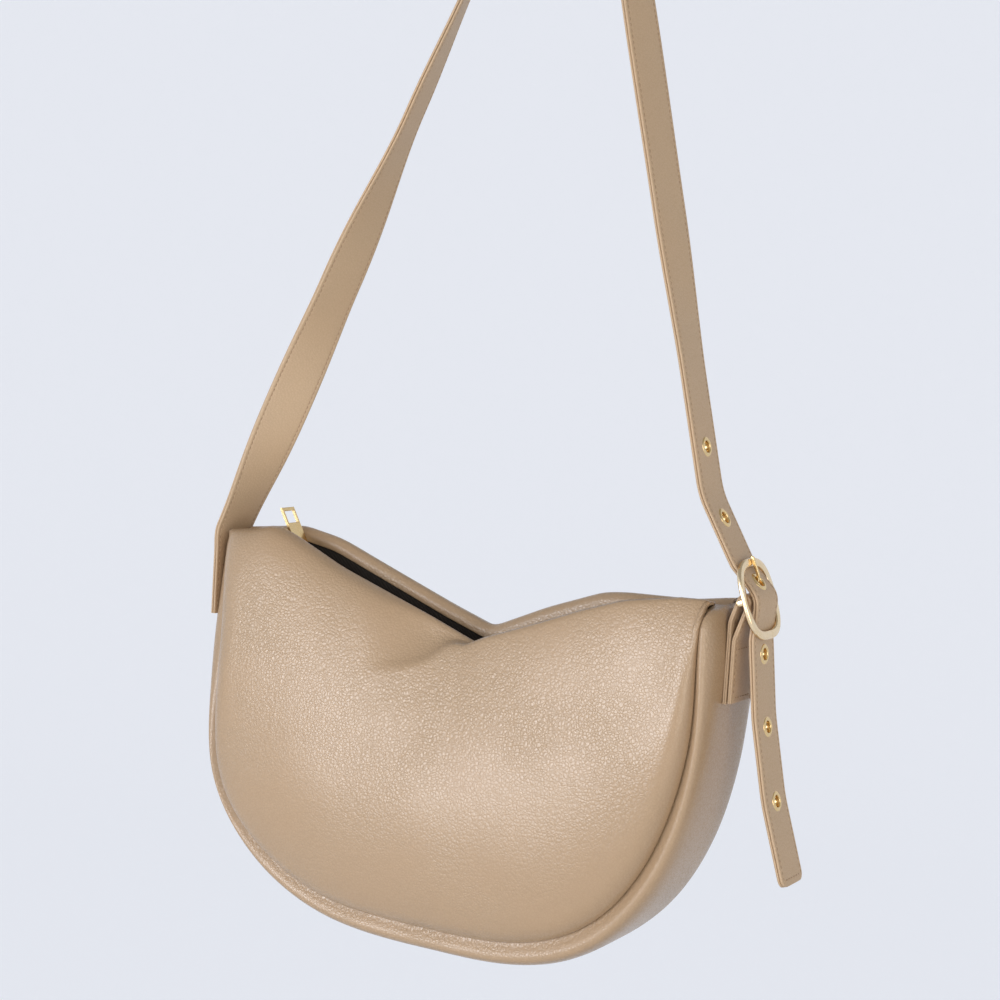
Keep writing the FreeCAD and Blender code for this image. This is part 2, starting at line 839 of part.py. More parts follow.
def piece_point(piece, share):
    # Point and direction of travel at a share of one piece.
    if piece.kind == "run":
        x = piece.start[0] + (piece.end[0] - piece.start[0]) * share
        z = piece.start[1] + (piece.end[1] - piece.start[1]) * share
        length = math.dist(piece.start, piece.end)
        return x, z, (piece.end[0] - piece.start[0]) / length, (piece.end[1] - piece.start[1]) / length
    angle = piece.first + piece.turn * share
    ahead = angle + math.copysign(math.pi / 2, piece.turn)
    x = piece.centre[0] + piece.radius * math.cos(angle)
    return x, piece.centre[1] + piece.radius * math.sin(angle), math.cos(ahead), math.sin(ahead)


rim_up = (size.buckle_height - size.buckle_face) / 2
weave = math.radians(size.weave_lean)
rim_behind = (size.buckle_thick / 2 + size.strap_clearance + strap_half) / math.cos(weave)
peak_out = rim_up * math.tan(weave) - rim_behind
foot_x = -(gusset_out + size.layer_gap + strap_half)
foot_corner = (foot_x, -size.foot_high)
leg_corner = (size.buckle_out - size.bend_in, size.bend_up)
hang_centre = (size.hang_offset, size.hang_drop - size.hang_radius)
hang_turn = size.hang_radius + strap_half
left_way = tangent_direction(foot_corner, hang_centre, hang_turn, 1)
right_way = tangent_direction(leg_corner, hang_centre, hang_turn, -1)
apex_corner = crossing(foot_corner, left_way, leg_corner, right_way)
peak_corner = buckle_place(peak_out, 0)
low_corner = buckle_place(-rim_behind, -rim_up)
tail_first = leaning(low_corner, size.tail_upper, size.tail_upper_lean)
tail_second = leaning(tail_first, size.tail_middle, size.tail_middle_lean)
tail_end = leaning(tail_second, size.tail_lower, size.tail_lower_lean)
strap_pieces = bent_path(
    [(foot_x, -size.foot_low), foot_corner, apex_corner, leg_corner, buckle_place(-rim_behind, rim_up),
     peak_corner, low_corner, tail_first, tail_second, tail_end],
    [size.foot_radius, hang_turn, size.bend_radius, size.rim_radius, size.peak_radius, size.rim_radius,
     size.tail_radius, size.tail_radius],
)
foot_bend, left_leg, right_leg, hole_run, below_rim = [strap_pieces[place] for place in (1, 2, 4, 8, 12)]


def piece_start(wanted):
    return sum(piece_length(piece) for piece in strap_pieces[:strap_pieces.index(wanted)])


def piece_end(wanted):
    return piece_start(wanted) + piece_length(wanted)


strap_length = piece_end(strap_pieces[-1])
hole_length = piece_end(hole_run) + size.peak_radius * math.tan(weave)
hole_length -= size.prong_hole_offset
split_length = piece_start(below_rim) + size.tail_start


def eased_twist(stations, share):
    for (start, low), (end, high) in zip(stations, stations[1:]):
        if share <= end:
            part = (share - start) / (end - start)
            return low + (high - low) * (1 - math.cos(math.pi * part)) / 2
    return stations[-1][1]


def twist_at(length):
    foot_end = piece_start(left_leg)
    leg_end = piece_end(left_leg)
    right_start = piece_start(right_leg)
    right_end = piece_end(right_leg)
    if length < foot_end:
        bend_start = piece_start(foot_bend)
        part = max(0, (length - bend_start) / (foot_end - bend_start))
        return left_twist_shares[0][1] * (1 - math.cos(math.pi * part)) / 2
    if length < leg_end:
        return eased_twist(left_twist_shares, (length - foot_end) / (leg_end - foot_end))
    if right_start < length < right_end:
        return eased_twist(right_twist_shares, (length - right_start) / (right_end - right_start))
    return 0


def strap_frame(length):
    # Middle of the strap, and its directions across and outward.
    walked = 0
    for piece in strap_pieces:
        run = piece_length(piece)
        if length <= walked + run or piece is strap_pieces[-1]:
            x, z, ahead_x, ahead_z = piece_point(piece, (length - walked) / run)
            break
        walked += run
    turn = math.radians(twist_at(length))
    outward = Vector(-ahead_z, 0, ahead_x)
    sideways = Vector(0, 1, 0)
    across = sideways * math.cos(turn) - outward * math.sin(turn)
    facing = outward * math.cos(turn) + sideways * math.sin(turn)
    return Vector(x, 0, z), across, facing


def strap_stations(start, end, run_step_share=0.03, arc_step=10):
    # Lengths along the strap, closer on the bends.
    lengths = []
    walked = 0
    for piece in strap_pieces:
        run = piece_length(piece)
        if piece.kind == "run":
            count = max(1, math.ceil(run / (strap_length * run_step_share)))
        else:
            count = max(2, math.ceil(abs(math.degrees(piece.turn)) / arc_step))
        lengths += [walked + run * share for share in even(count)[:-1]]
        walked += run
    nearest = size.layer_gap
    return [start] + [point for point in lengths if start + nearest < point < end - nearest] + [end]


def strap_section(length, near, far, reach):
    middle, across, facing = strap_frame(length)
    return [
        middle - across * reach + facing * near,
        middle + across * reach + facing * near,
        middle + across * reach + facing * far,
        middle - across * reach + facing * far,
    ]


def strap_solid(start, end, near, far, rounded_tip=False):
    half = size.strap_width / 2
    stations = strap_stations(start, end)
    if rounded_tip:
        tip_start = end - size.tail_tip
        stations = [length for length in stations if length < tip_start]
        stations += [tip_start + size.tail_tip * math.sin(math.pi / 2 * share) for share in even(5)]
    sections = []
    for length in stations:
        reach = half
        if rounded_tip and length > tip_start:
            depth = (length - tip_start) / size.tail_tip
            reach = half - size.tail_tip * (1 - math.sqrt(max(0, 1 - depth * depth)))
        sections.append(strap_section(length, near, far, reach))
    return skinned(sections)


eyelet_lengths = [hole_length + size.eyelet_pitch * step for step in range(-2, 4)]


def with_holes(solid, start, end):
    reach = 2 * strap_half
    for length in eyelet_lengths:
        if start < length < end:
            middle, across, facing = strap_frame(length)
            bore = size.eyelet_barrel + size.eyelet_seat
            solid = solid.cut(Part.makeCylinder(bore, 2 * reach, middle - facing * reach, facing))
    return solid


def make_strap():
    spans = (("strap", 0, split_length, False),
             ("strap_tail", split_length + size.tail_gap, strap_length, True))
    half_gap = size.layer_gap / 2
    for name, start, end, tip in spans:
        for layer, sign in (("outer", 1), ("inner", -1)):
            solid = strap_solid(start, end, sign * half_gap, sign * (half_gap + size.strap_layer), tip)
            add_shape("%s_%s" % (name, layer), with_holes(solid, start, end))


def make_eyelets():
    # A pressed ring through both layers, with a wide domed flange outside and a narrower one behind.
    face = strap_half + size.eyelet_seat
    profile = (
        (size.eyelet_bore, -face - size.eyelet_rim),
        (size.eyelet_back_flange, -face),
        (size.eyelet_barrel, -face),
        (size.eyelet_barrel, face),
        (size.eyelet_flange, face),
        (size.eyelet_bore, face + size.eyelet_rim),
    )
    sides_round = 20
    for count, length in enumerate(eyelet_lengths):
        middle, across, facing = strap_frame(length)
        ahead = across.cross(facing)
        sections = []
        for step in range(sides_round):
            turn = 2 * math.pi * step / sides_round
            out = across * math.cos(turn) + ahead * math.sin(turn)
            sections.append([middle + out * radius + facing * height for radius, height in profile])
        add_shape("eyelet_%d" % (count + 1), skinned(sections, closed=True))


# Buckle

buckle_spot = ("buckle_out - hang_offset", "0", "buckle_up - hang_drop")


def make_buckle_frame():
    body = start_body("buckle_frame", buckle_spot, "-buckle_tilt")
    face = sketch_on(body, "YZ_Plane", "buckle_outline")
    draw_polygon(face, (
        ("-buckle_width / 2", "-buckle_height / 2"),
        ("buckle_width / 2", "-buckle_height / 2"),
        ("buckle_width / 2", "buckle_height / 2"),
        ("-buckle_width / 2", "buckle_height / 2"),
    ))
    plate = add_pad(body, face, "buckle_thick")
    through = Vector(1, 0, 0)

    def along_through(edge):
        return runs_along(edge, through)
    round_edges(body, plate, "buckle_corners", "buckle_corner", along_through)
    window = sketch_on(body, "YZ_Plane", "buckle_window")
    draw_polygon(window, (
        ("-buckle_width / 2 + buckle_face", "-buckle_height / 2 + buckle_face"),
        ("buckle_width / 2 - buckle_face", "-buckle_height / 2 + buckle_face"),
        ("buckle_width / 2 - buckle_face", "buckle_height / 2 - buckle_face"),
        ("-buckle_width / 2 + buckle_face", "buckle_height / 2 - buckle_face"),
    ))
    opened = add_pocket(body, window)
    inner_half = size.buckle_width / 2 - size.buckle_face
    inner_up = size.buckle_height / 2 - size.buckle_face

    def inner_corner(edge):
        middle = edge.CenterOfMass
        return runs_along(edge, through) and abs(abs(middle.y) - inner_half) < size.bar_fit \
            and abs(abs(middle.z) - inner_up) < size.bar_fit
    ring = round_edges(body, opened, "buckle_window_corners", "buckle_corner - buckle_face", inner_corner)
    flat = size.buckle_thick / 2

    def on_face(edge):
        return abs(abs(edge.CenterOfMass.x) - flat) < size.bar_fit
    body.Tip = bevel_edges(body, ring, "buckle_bevel", "buckle_edge", on_face)
    for sign, end in (("-", "front"), ("", "back")):
        lug = sketch_on(body, "XZ_Plane", "lug_" + end)
        draw_polygon(lug, (
            ("0", "-lug_height / 2"),
            ("0", "lug_height / 2"),
            ("-bar_inset", "lug_height / 2"),
            ("-lug_depth", "lug_height / 5"),
            ("-lug_depth", "-lug_height / 5"),
            ("-bar_inset", "-lug_height / 2"),
        ))
        draw_circle(lug, ("-bar_inset", "0"), "bar_radius + bar_fit")
        lug.setExpression("AttachmentOffset.Base.z", bound("%s(-buckle_width / 2 + lug_width / 2)" % sign))
        doc.recompute()
        add_pad(body, lug, "lug_width")


def make_buckle_bar():
    body = start_body("buckle_bar", buckle_spot, "-buckle_tilt")
    section = sketch_on(body, "XZ_Plane", "bar_section")
    draw_circle(section, ("-bar_inset", "0"), "bar_radius")
    add_pad(body, section, "buckle_width")


hole_up = size.prong_hole_offset * math.cos(weave)
hole_out = peak_out - size.prong_hole_offset * math.sin(weave)
prong_rise = math.atan2(hole_out + size.bar_inset, hole_up)
hole_reach = math.hypot(hole_out + size.bar_inset, hole_up)
eyelet_face = strap_half + size.eyelet_seat + size.eyelet_rim
past_hole = hole_reach + (eyelet_face + size.prong_clear) / math.sin(prong_rise + weave)
bend_out = past_hole * math.sin(prong_rise) - size.bar_inset
bend_up = past_hole * math.cos(prong_rise)
tip_out = size.buckle_thick / 2 + size.bar_fit + size.prong_radius
add_derived({
    "prong_side_out": size.prong_radius * math.cos(prong_rise),
    "prong_side_up": size.prong_radius * math.sin(prong_rise),
    "prong_bend_out": bend_out,
    "prong_bend_up": bend_up,
    "prong_bend_ease": size.prong_radius * math.tan(prong_rise / 2),
    "prong_tip_out": tip_out,
    "prong_tip_up": rim_up + size.buckle_face / 2 + size.prong_tip_past,
})


def make_prong():
    body = start_body("buckle_prong", buckle_spot, "-buckle_tilt")
    shank = sketch_on(body, "XZ_Plane", "prong_shank")
    draw_polygon(shank, (
        ("-bar_inset + prong_side_out", "-prong_side_up"),
        ("prong_bend_out + prong_radius", "prong_bend_up - prong_bend_ease"),
        ("prong_tip_out + prong_radius", "prong_tip_up - prong_radius"),
        ("prong_tip_out", "prong_tip_up"),
        ("prong_tip_out - prong_radius", "prong_tip_up"),
        ("prong_bend_out - prong_radius", "prong_bend_up + prong_bend_ease"),
        ("-bar_inset - prong_side_out", "prong_side_up"),
    ))
    pin = add_pad(body, shank, "2 * prong_radius")
    sideways = Vector(0, 1, 0)

    def along_pin(edge):
        return not runs_along(edge, sideways) and edge.CenterOfMass.z > size.prong_eye
    body.Tip = round_edges(body, pin, "prong_rounding", "prong_edge", along_pin)
    eye = sketch_on(body, "XZ_Plane", "prong_eye_ring")
    draw_circle(eye, ("-bar_inset", "0"), "prong_eye")
    add_pad(body, eye, "2 * prong_eye_half_width")
    bore = sketch_on(body, "XZ_Plane", "prong_bore")
    draw_circle(bore, ("-bar_inset", "0"), "bar_radius + bar_fit")
    body.Tip = add_pocket(body, bore)


# Buckle tab, one strip folded round the bar

bar_spot = buckle_place(-size.bar_inset, 0)
wrap = size.bar_radius + size.tab_wrap_gap + size.tab_thick / 2
inner_leaf = gusset_out + size.layer_gap + size.tab_thick / 2
outer_leaf = inner_leaf + size.tab_thick + size.layer_gap


def tab_path():
    lean = math.radians(size.tab_lean)
    ahead = (math.sin(lean), math.cos(lean))
    aside = (-ahead[1] * wrap, ahead[0] * wrap)
    inner = (bar_spot[0] + aside[0], bar_spot[1] + aside[1])
    outer = (bar_spot[0] - aside[0], bar_spot[1] - aside[1])
    over = (ahead[0] * wrap, ahead[1] * wrap)
    upright = (0, 1)
    points = [
        (inner_leaf, -size.tab_low),
        crossing((inner_leaf, 0), upright, inner, ahead),
        (inner[0] + over[0], inner[1] + over[1]),
        (outer[0] + over[0], outer[1] + over[1]),
        crossing((outer_leaf, 0), upright, outer, ahead),
        (outer_leaf, -size.tab_low),
    ]
    return bent_path(points, [size.tab_radius, wrap, wrap, size.tab_radius])


def ribbon_side(pieces, offset):
    # One side of a strip along a path, offset to the left of the way it runs.
    edges = []
    for piece in pieces:
        if piece_length(piece) < size.bar_fit:
            continue
        spots = []
        for share in (0, 0.5, 1):
            x, z, ahead_x, ahead_z = piece_point(piece, share)
            spots.append(Vector(x - ahead_z * offset, 0, z + ahead_x * offset))
        if piece.kind == "run":
            edges.append(Part.makeLine(spots[0], spots[2]))
        else:
            edges.append(Part.Arc(*spots).toShape())
    return edges


def make_tab():
    pieces = tab_path()
    half = size.tab_thick / 2
    left = ribbon_side(pieces, half)
    right = ribbon_side(pieces, -half)
    caps = [
        Part.makeLine(left[0].Vertexes[0].Point, right[0].Vertexes[0].Point),
        Part.makeLine(left[-1].Vertexes[-1].Point, right[-1].Vertexes[-1].Point),
    ]
    profile = doc.addObject("Part::Feature", "tab_profile")
    profile.Shape = Part.Face(Part.Wire(Part.__sortEdges__(left + right + caps)))
    strip = doc.addObject("Part::Extrusion", "tab_strip")
    strip.Base = profile
    strip.DirMode = "Custom"
    strip.Dir = Vector(0, 1, 0)
    strip.Solid = True
    strip.Symmetric = True
    strip.setExpression("LengthFwd", bound("tab_width"))
    slot = doc.addObject("Part::Cylinder", "tab_slot")
    slot.Placement = Placement(Vector(bar_spot[0], 0, bar_spot[1]), Rotation(Vector(1, 0, 0), 90))
    slot.setExpression("Radius", bound("prong_eye + tab_thick + tab_slot_clearance"))
    slot.setExpression("Height", bound("2 * (prong_eye_half_width + tab_slot_clearance)"))
    slot.setExpression("Placement.Base.y", bound("prong_eye_half_width + tab_slot_clearance"))
    tab = doc.addObject("Part::Cut", "buckle_tab")
    tab.Base = strip
    tab.Tool = slot
    hang_in_place(tab)
    add_node("buckle_tab", tab)


make_panels()
make_gusset()
make_bindings()
make_tapes()
make_teeth()
make_stops()
make_end_tabs()
make_slider()
make_pull()
make_strap()
make_eyelets()
make_buckle_frame()
make_buckle_bar()
make_prong()
make_tab()
doc.recompute()

for thing in doc.Objects:
    if "Invalid" in thing.State or "Error" in thing.State:
        raise RuntimeError("%s did not build: %s" % (thing.Label, thing.State))
for name, thing in nodes:
    if thing.Shape.isNull() or not thing.Shape.isValid():
        raise RuntimeError("%s has no valid shape" % name)
    if len(thing.Shape.Solids) != 1:
        raise RuntimeError("%s has %d solids" % (name, len(thing.Shape.Solids)))

os.makedirs("parts", exist_ok=True)
for name, thing in nodes:
    thing.Shape.exportStep(os.path.join("parts", name + ".step"))
    box = thing.Shape.BoundBox
    print("%-20s volume %9.1f  x %.1f to %.1f  y %.1f to %.1f  z %.1f to %.1f" % (
        name, thing.Shape.Volume, box.XMin, box.XMax, box.YMin, box.YMax, box.ZMin, box.ZMax))


def in_frame(spot):
    return "%.3f 0 %.3f" % (spot[0] - size.hang_offset, spot[1] - size.hang_drop)


split = strap_frame(split_length + size.tail_gap / 2)[0]
print("zip centre", in_frame((0, size.zip_centre)), "travel", round(2 * rest_turn, 2))
pull_reach = zip_radius - size.pull_axis
slider_turn = math.radians(rest_turn)
pull_spot = (-pull_reach * math.sin(slider_turn), size.zip_centre - pull_reach * math.cos(slider_turn))
print("pull axis", in_frame(pull_spot))
print("bar axis", in_frame(bar_spot))
print("tail axis", in_frame((split.x, split.z)))
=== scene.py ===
import math

import bmesh
import bpy
import numpy as np
from mathutils import Matrix, Vector, noise


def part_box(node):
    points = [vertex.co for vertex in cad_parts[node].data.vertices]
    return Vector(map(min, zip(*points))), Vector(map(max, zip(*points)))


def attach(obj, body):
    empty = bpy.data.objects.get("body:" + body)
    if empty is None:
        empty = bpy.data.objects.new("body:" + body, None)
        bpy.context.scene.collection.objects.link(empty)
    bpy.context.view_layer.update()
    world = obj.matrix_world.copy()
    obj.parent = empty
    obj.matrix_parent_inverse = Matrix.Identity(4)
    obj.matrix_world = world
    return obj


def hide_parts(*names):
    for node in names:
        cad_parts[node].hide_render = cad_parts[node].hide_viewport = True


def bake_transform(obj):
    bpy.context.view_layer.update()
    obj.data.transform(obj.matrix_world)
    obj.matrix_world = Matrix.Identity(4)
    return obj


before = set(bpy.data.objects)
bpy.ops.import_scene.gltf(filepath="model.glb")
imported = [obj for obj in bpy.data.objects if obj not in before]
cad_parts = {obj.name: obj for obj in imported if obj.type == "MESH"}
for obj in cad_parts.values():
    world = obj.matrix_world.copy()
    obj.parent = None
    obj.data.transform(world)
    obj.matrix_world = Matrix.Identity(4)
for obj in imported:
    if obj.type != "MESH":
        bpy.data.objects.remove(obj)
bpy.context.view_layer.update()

mm = 0.001
scene = bpy.context.scene
print("frame loaded:", len(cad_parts), "nodes")

# Bag frame: millimetres from the middle between the bag's two upper ends
bag = {
    "midX": -41.4,  # that middle, from the hang point
    "midZ": -441.6,
    "halfWidth": 165,
    "seamDrop": 206,
    "gussetHalf": 33,
    "noseHalf": 10.7,
    "leftNoseDrop": 140,  # the left end narrows slowly towards the strap, the right end at once
    "rightNoseDrop": 14,
    "leftLift": 3.5,
    "liftReach": 40,
    "leather": 1.8,
    "layerGap": 0.3,
    "rimSidePower": 3.3,
    "rimBottomPower": 2.35,
    "rimPoints": 4001,
}


def toFrame(point):
    return Vector(((point[0] + bag["midX"]) * mm, point[1] * mm, (point[2] + bag["midZ"]) * mm))


def wave(point, span, seed):
    # smooth bumps from -1 to 1, about one span apart
    return noise.noise(Vector((point[0] / span + seed, point[1] / span - seed, point[2] / span)))


# Colours and nodes
def linear(hexColour):
    parts = [int(hexColour[i:i + 2], 16) / 255 for i in (1, 3, 5)]
    return tuple(c / 12.92 if c <= 0.04045 else ((c + 0.055) / 1.055) ** 2.4 for c in parts) + (1,)


def addNode(tree, kind, settings=None, links=None):
    node = tree.nodes.new(kind)
    for key, value in (settings or {}).items():
        if isinstance(key, int) or key in node.inputs:
            node.inputs[key].default_value = value
        else:
            setattr(node, key, value)
    for key, socket in (links or {}).items():
        tree.links.new(socket, node.inputs[key])
    return node


def newMaterial(name):
    material = bpy.data.materials.new(name)
    material.use_nodes = True
    return material, material.node_tree


def dressShader(material, links, settings):
    shader = material.node_tree.nodes["Principled BSDF"]
    for key, socket in links.items():
        material.node_tree.links.new(socket, shader.inputs[key])
    for key, value in settings.items():
        shader.inputs[key].default_value = value
    return material


def perMetre(millimetres):
    return 1 / (millimetres * mm)


# Polyurethane leather, embossed with a pebble grain and rolled under a soft clear coat:
# even taupe, darker in the valleys, with a broad sheen that breaks into small bright pebbles
def pebbledPolyurethane(name, look):
    material, tree = newMaterial(name)
    place = {"Vector": addNode(tree, "ShaderNodeTexCoord").outputs["Object"]}
    warp = addNode(tree, "ShaderNodeTexNoise", {"Scale": perMetre(look["warp"]), "Detail": 2.0}, place)
    shift = addNode(tree, "ShaderNodeVectorMath", {"operation": "SCALE", "Scale": look["warpBy"] * mm},
                    {0: warp.outputs["Color"]})
    bent = addNode(tree, "ShaderNodeVectorMath", {"operation": "ADD"},
                   {0: place["Vector"], 1: shift.outputs["Vector"]}).outputs["Vector"]
    pebbles = addNode(tree, "ShaderNodeTexVoronoi",
                      {"feature": "SMOOTH_F1", "Scale": perMetre(look["pebble"]), "Smoothness": 0.35},
                      {"Vector": bent})
    valleys = addNode(tree, "ShaderNodeTexVoronoi",
                      {"feature": "DISTANCE_TO_EDGE", "Scale": perMetre(look["pebble"])}, {"Vector": bent})
    cleft = addNode(tree, "ShaderNodeMapRange", {"From Max": 0.16}, {"Value": valleys.outputs["Distance"]})
    pores = addNode(tree, "ShaderNodeTexNoise", {"Scale": perMetre(look["pore"]), "Detail": 3.0}, place)
    patch = addNode(tree, "ShaderNodeTexNoise", {"Scale": perMetre(look["patch"]), "Detail": 2.0}, place)
    strength = addNode(tree, "ShaderNodeMapRange",
                       {"From Min": 0.35, "From Max": 0.7, "To Min": 0.35, "To Max": 1.0},
                       {"Value": patch.outputs["Fac"]})
    dome = addNode(tree, "ShaderNodeMath", {"operation": "MULTIPLY", 1: -1.0},
                   {0: pebbles.outputs["Distance"]})
    height = addNode(tree, "ShaderNodeMath", {"operation": "MULTIPLY_ADD", 1: 0.35},
                     {0: cleft.outputs["Result"], 2: dome.outputs["Value"]})
    grain = addNode(tree, "ShaderNodeMath", {"operation": "MULTIPLY_ADD", 1: 0.25},
                    {0: pores.outputs["Fac"], 2: height.outputs["Value"]})
    graded = addNode(tree, "ShaderNodeMath", {"operation": "MULTIPLY"},
                     {0: grain.outputs["Value"], 1: strength.outputs["Result"]})
    bump = addNode(tree, "ShaderNodeBump", {"Strength": look["bump"], "Distance": look["relief"] * mm},
                   {"Height": graded.outputs["Value"]})
    tone = addNode(tree, "ShaderNodeMix",
                   {"data_type": "RGBA", 6: linear(look["warm"]), 7: linear(look["cool"])},
                   {0: patch.outputs["Fac"]})
    depth = addNode(tree, "ShaderNodeMapRange", {"To Min": 0.1, "To Max": 0.0},
                    {"Value": cleft.outputs["Result"]})
    colour = addNode(tree, "ShaderNodeMix", {"data_type": "RGBA", 7: linear(look["valley"])},
                     {0: depth.outputs["Result"], 6: tone.outputs[2]})
    gloss = addNode(tree, "ShaderNodeMapRange", {"To Min": look["valleyRough"], "To Max": look["rough"]},
                    {"Value": cleft.outputs["Result"]})
    links = {"Base Color": colour.outputs[2], "Roughness": gloss.outputs["Result"],
             "Normal": bump.outputs["Normal"], "Coat Normal": bump.outputs["Normal"]}
    return dressShader(material, links, {
        "IOR": 1.5, "Coat Weight": look["coat"], "Coat Roughness": look["coatRough"]})


panelLeather = pebbledPolyurethane("pebbled_polyurethane_leather", {
    # millimetres, apart from bump
    "pebble": 1.9, "warp": 4.75, "warpBy": 3.04, "pore": 0.5, "patch": 60, "relief": 0.34, "bump": 0.65,
    "warm": "#b19577", "cool": "#ae967b", "valley": "#86694f",
    "rough": 0.3, "valleyRough": 0.55, "coat": 0.4, "coatRough": 0.24,
})
strapLeather = pebbledPolyurethane("fine_grained_polyurethane_strap", {
    "pebble": 1.5, "warp": 3.75, "warpBy": 2.4, "pore": 0.4, "patch": 40, "relief": 0.3, "bump": 0.4,
    "warm": "#c6aa8b", "cool": "#c3ab8f", "valley": "#86694f",
    "rough": 0.5, "valleyRough": 0.75, "coat": 0.25, "coatRough": 0.36,
})


# bands of a diagonal wave texture in one unit at scale 1
diagonalBands = 10 * math.sqrt(3) / (2 * math.pi)


# Woven polyester tape: near black and matt, with a twill of 0.6 mm threads that is drawn about twice
# as coarse, so that it shows close by
def wovenPolyester(name, look):
    material, tree = newMaterial(name)
    place = {"Vector": addNode(tree, "ShaderNodeTexCoord").outputs["Object"]}
    weave = addNode(tree, "ShaderNodeTexWave",
                    {"wave_type": "BANDS", "bands_direction": "DIAGONAL",
                     "Scale": perMetre(look["twill"]) / diagonalBands, "Distortion": 0.6, "Detail": 1.0},
                    place)
    fuzz = addNode(tree, "ShaderNodeTexNoise", {"Scale": perMetre(look["fuzz"]), "Detail": 3.0}, place)
    shade = addNode(tree, "ShaderNodeMath", {"operation": "MULTIPLY"},
                    {0: weave.outputs["Fac"], 1: fuzz.outputs["Fac"]})
    colour = addNode(tree, "ShaderNodeMix",
                     {"data_type": "RGBA", 6: linear(look["deep"]), 7: linear(look["lit"])},
                     {0: shade.outputs["Value"]})
    bump = addNode(tree, "ShaderNodeBump", {"Strength": 0.5, "Distance": look["relief"] * mm},
                   {"Height": weave.outputs["Fac"]})
    links = {"Base Color": colour.outputs[2], "Normal": bump.outputs["Normal"]}
    return dressShader(material, links, {"Roughness": 0.85, "Sheen Weight": 0.15})


tapeCloth = wovenPolyester("woven_polyester_zip_tape", {
    "twill": 1.3669, "fuzz": 2.4, "relief": 0.24, "deep": "#14100d", "lit": "#3a2f28"})
liningCloth = wovenPolyester("woven_polyester_lining", {
    "twill": 1.1391, "fuzz": 2.0, "relief": 0.2, "deep": "#6d5c4e", "lit": "#a08c79"})


# Zinc casting plated pale gold and polished: bright, with hairline swirls that soften the reflections
def platedGold(name, look):
    material, tree = newMaterial(name)
    place = {"Vector": addNode(tree, "ShaderNodeTexCoord").outputs["Object"]}
    wear = addNode(tree, "ShaderNodeTexNoise", {"Scale": perMetre(look["wear"]), "Detail": 4.0}, place)
    hair = addNode(tree, "ShaderNodeTexNoise", {"Scale": perMetre(look["hairline"]), "Detail": 2.0}, place)
    colour = addNode(tree, "ShaderNodeMix",
                     {"data_type": "RGBA", 6: linear(look["gold"]), 7: linear(look["pale"])},
                     {0: wear.outputs["Fac"]})
    gloss = addNode(tree, "ShaderNodeMapRange", {"To Min": look["rough"][0], "To Max": look["rough"][1]},
                    {"Value": wear.outputs["Fac"]})
    bump = addNode(tree, "ShaderNodeBump", {"Strength": 0.06, "Distance": look["relief"] * mm},
                   {"Height": hair.outputs["Fac"]})
    links = {"Base Color": colour.outputs[2], "Roughness": gloss.outputs["Result"],
             "Normal": bump.outputs["Normal"]}
    return dressShader(material, links, {"Metallic": 1.0})


goldMetal = platedGold("polished_gold_plated_zinc", {
    "wear": 6, "hairline": 0.25, "relief": 0.02, "gold": "#e6c896", "pale": "#f4e4c6", "rough": (0.14, 0.28)})
# brass plated a deeper gold, stamped and tumbled: warmer and a little softer than the buckle
deepGold = platedGold("tumbled_gold_plated_brass", {
    "wear": 4, "hairline": 0.25, "relief": 0.02, "gold": "#dcba7c", "pale": "#ecd5a6", "rough": (0.18, 0.32)})


# Bonded nylon sewing thread: a shade deeper than the leather, with the twist of its plies
def bondedThread(name, look):
    material, tree = newMaterial(name)
    place = {"Vector": addNode(tree, "ShaderNodeTexCoord").outputs["Object"]}
    ply = addNode(tree, "ShaderNodeTexNoise", {"Scale": perMetre(look["ply"]), "Detail": 2.0}, place)
    colour = addNode(tree, "ShaderNodeMix",
                     {"data_type": "RGBA", 6: linear(look["deep"]), 7: linear(look["lit"])},
                     {0: ply.outputs["Fac"]})
    return dressShader(material, {"Base Color": colour.outputs[2]}, {"Roughness": 0.6})


thread = bondedThread("bonded_nylon_thread", {"ply": 0.3, "deep": "#94785f", "lit": "#b99c83"})
print("materials made:", len(bpy.data.materials))


# Mesh helpers: points are bag-frame millimetres
def meshObject(name, points, faces):
    mesh = bpy.data.meshes.new(name)
    mesh.from_pydata([toFrame(point) for point in points], [], faces)
    mesh.polygons.foreach_set("use_smooth", [True] * len(mesh.polygons))
    thing = bpy.data.objects.new(name, mesh)
    scene.collection.objects.link(thing)
    return thing


def addPiece(name, points, faces, material, slot, sharp=50):
    piece = meshObject(name, points, faces)
    piece.data.set_sharp_from_angle(angle=math.radians(sharp))
    piece.data.materials.append(material)
    return piece


def gridPiece(name, rows, material, slot, thick, flip):
    # one open sheet of points, thickened to one side
    across = len(rows[0])
    points = [point for row in rows for point in row]
    faces = []
    for r in range(len(rows) - 1):
        for c in range(across - 1):
            corner = r * across + c
            face = (corner, corner + 1, corner + across + 1, corner + across)
            faces.append(face[::-1] if flip else face)
    piece = addPiece(name, points, faces, material, slot, 180)
    wall = piece.modifiers.new("wall", "SOLIDIFY")
    wall.thickness = thick * mm
    wall.offset = -1
    return piece


def skinShell(sections, ring=False):
    # closed sections of equally many points, joined one to the next, with flat ends unless they make a ring
    count = len(sections[0])
    faces = []
    for s in range(len(sections) if ring else len(sections) - 1):
        here, there = s * count, (s + 1) % len(sections) * count
        for c in range(count):
            after = (c + 1) % count
            faces.append((here + c, here + after, there + after, there + c))
    if not ring:
        last = (len(sections) - 1) * count
        faces.append(tuple(range(count - 1, -1, -1)))
        faces.append(tuple(range(last, last + count)))
    return [point for section in sections for point in section], faces


def joinShells(shells):
    points, faces = [], []
    for shellPoints, shellFaces in shells:
        faces += [tuple(corner + len(points) for corner in face) for face in shellFaces]
        points += shellPoints
    return points, faces


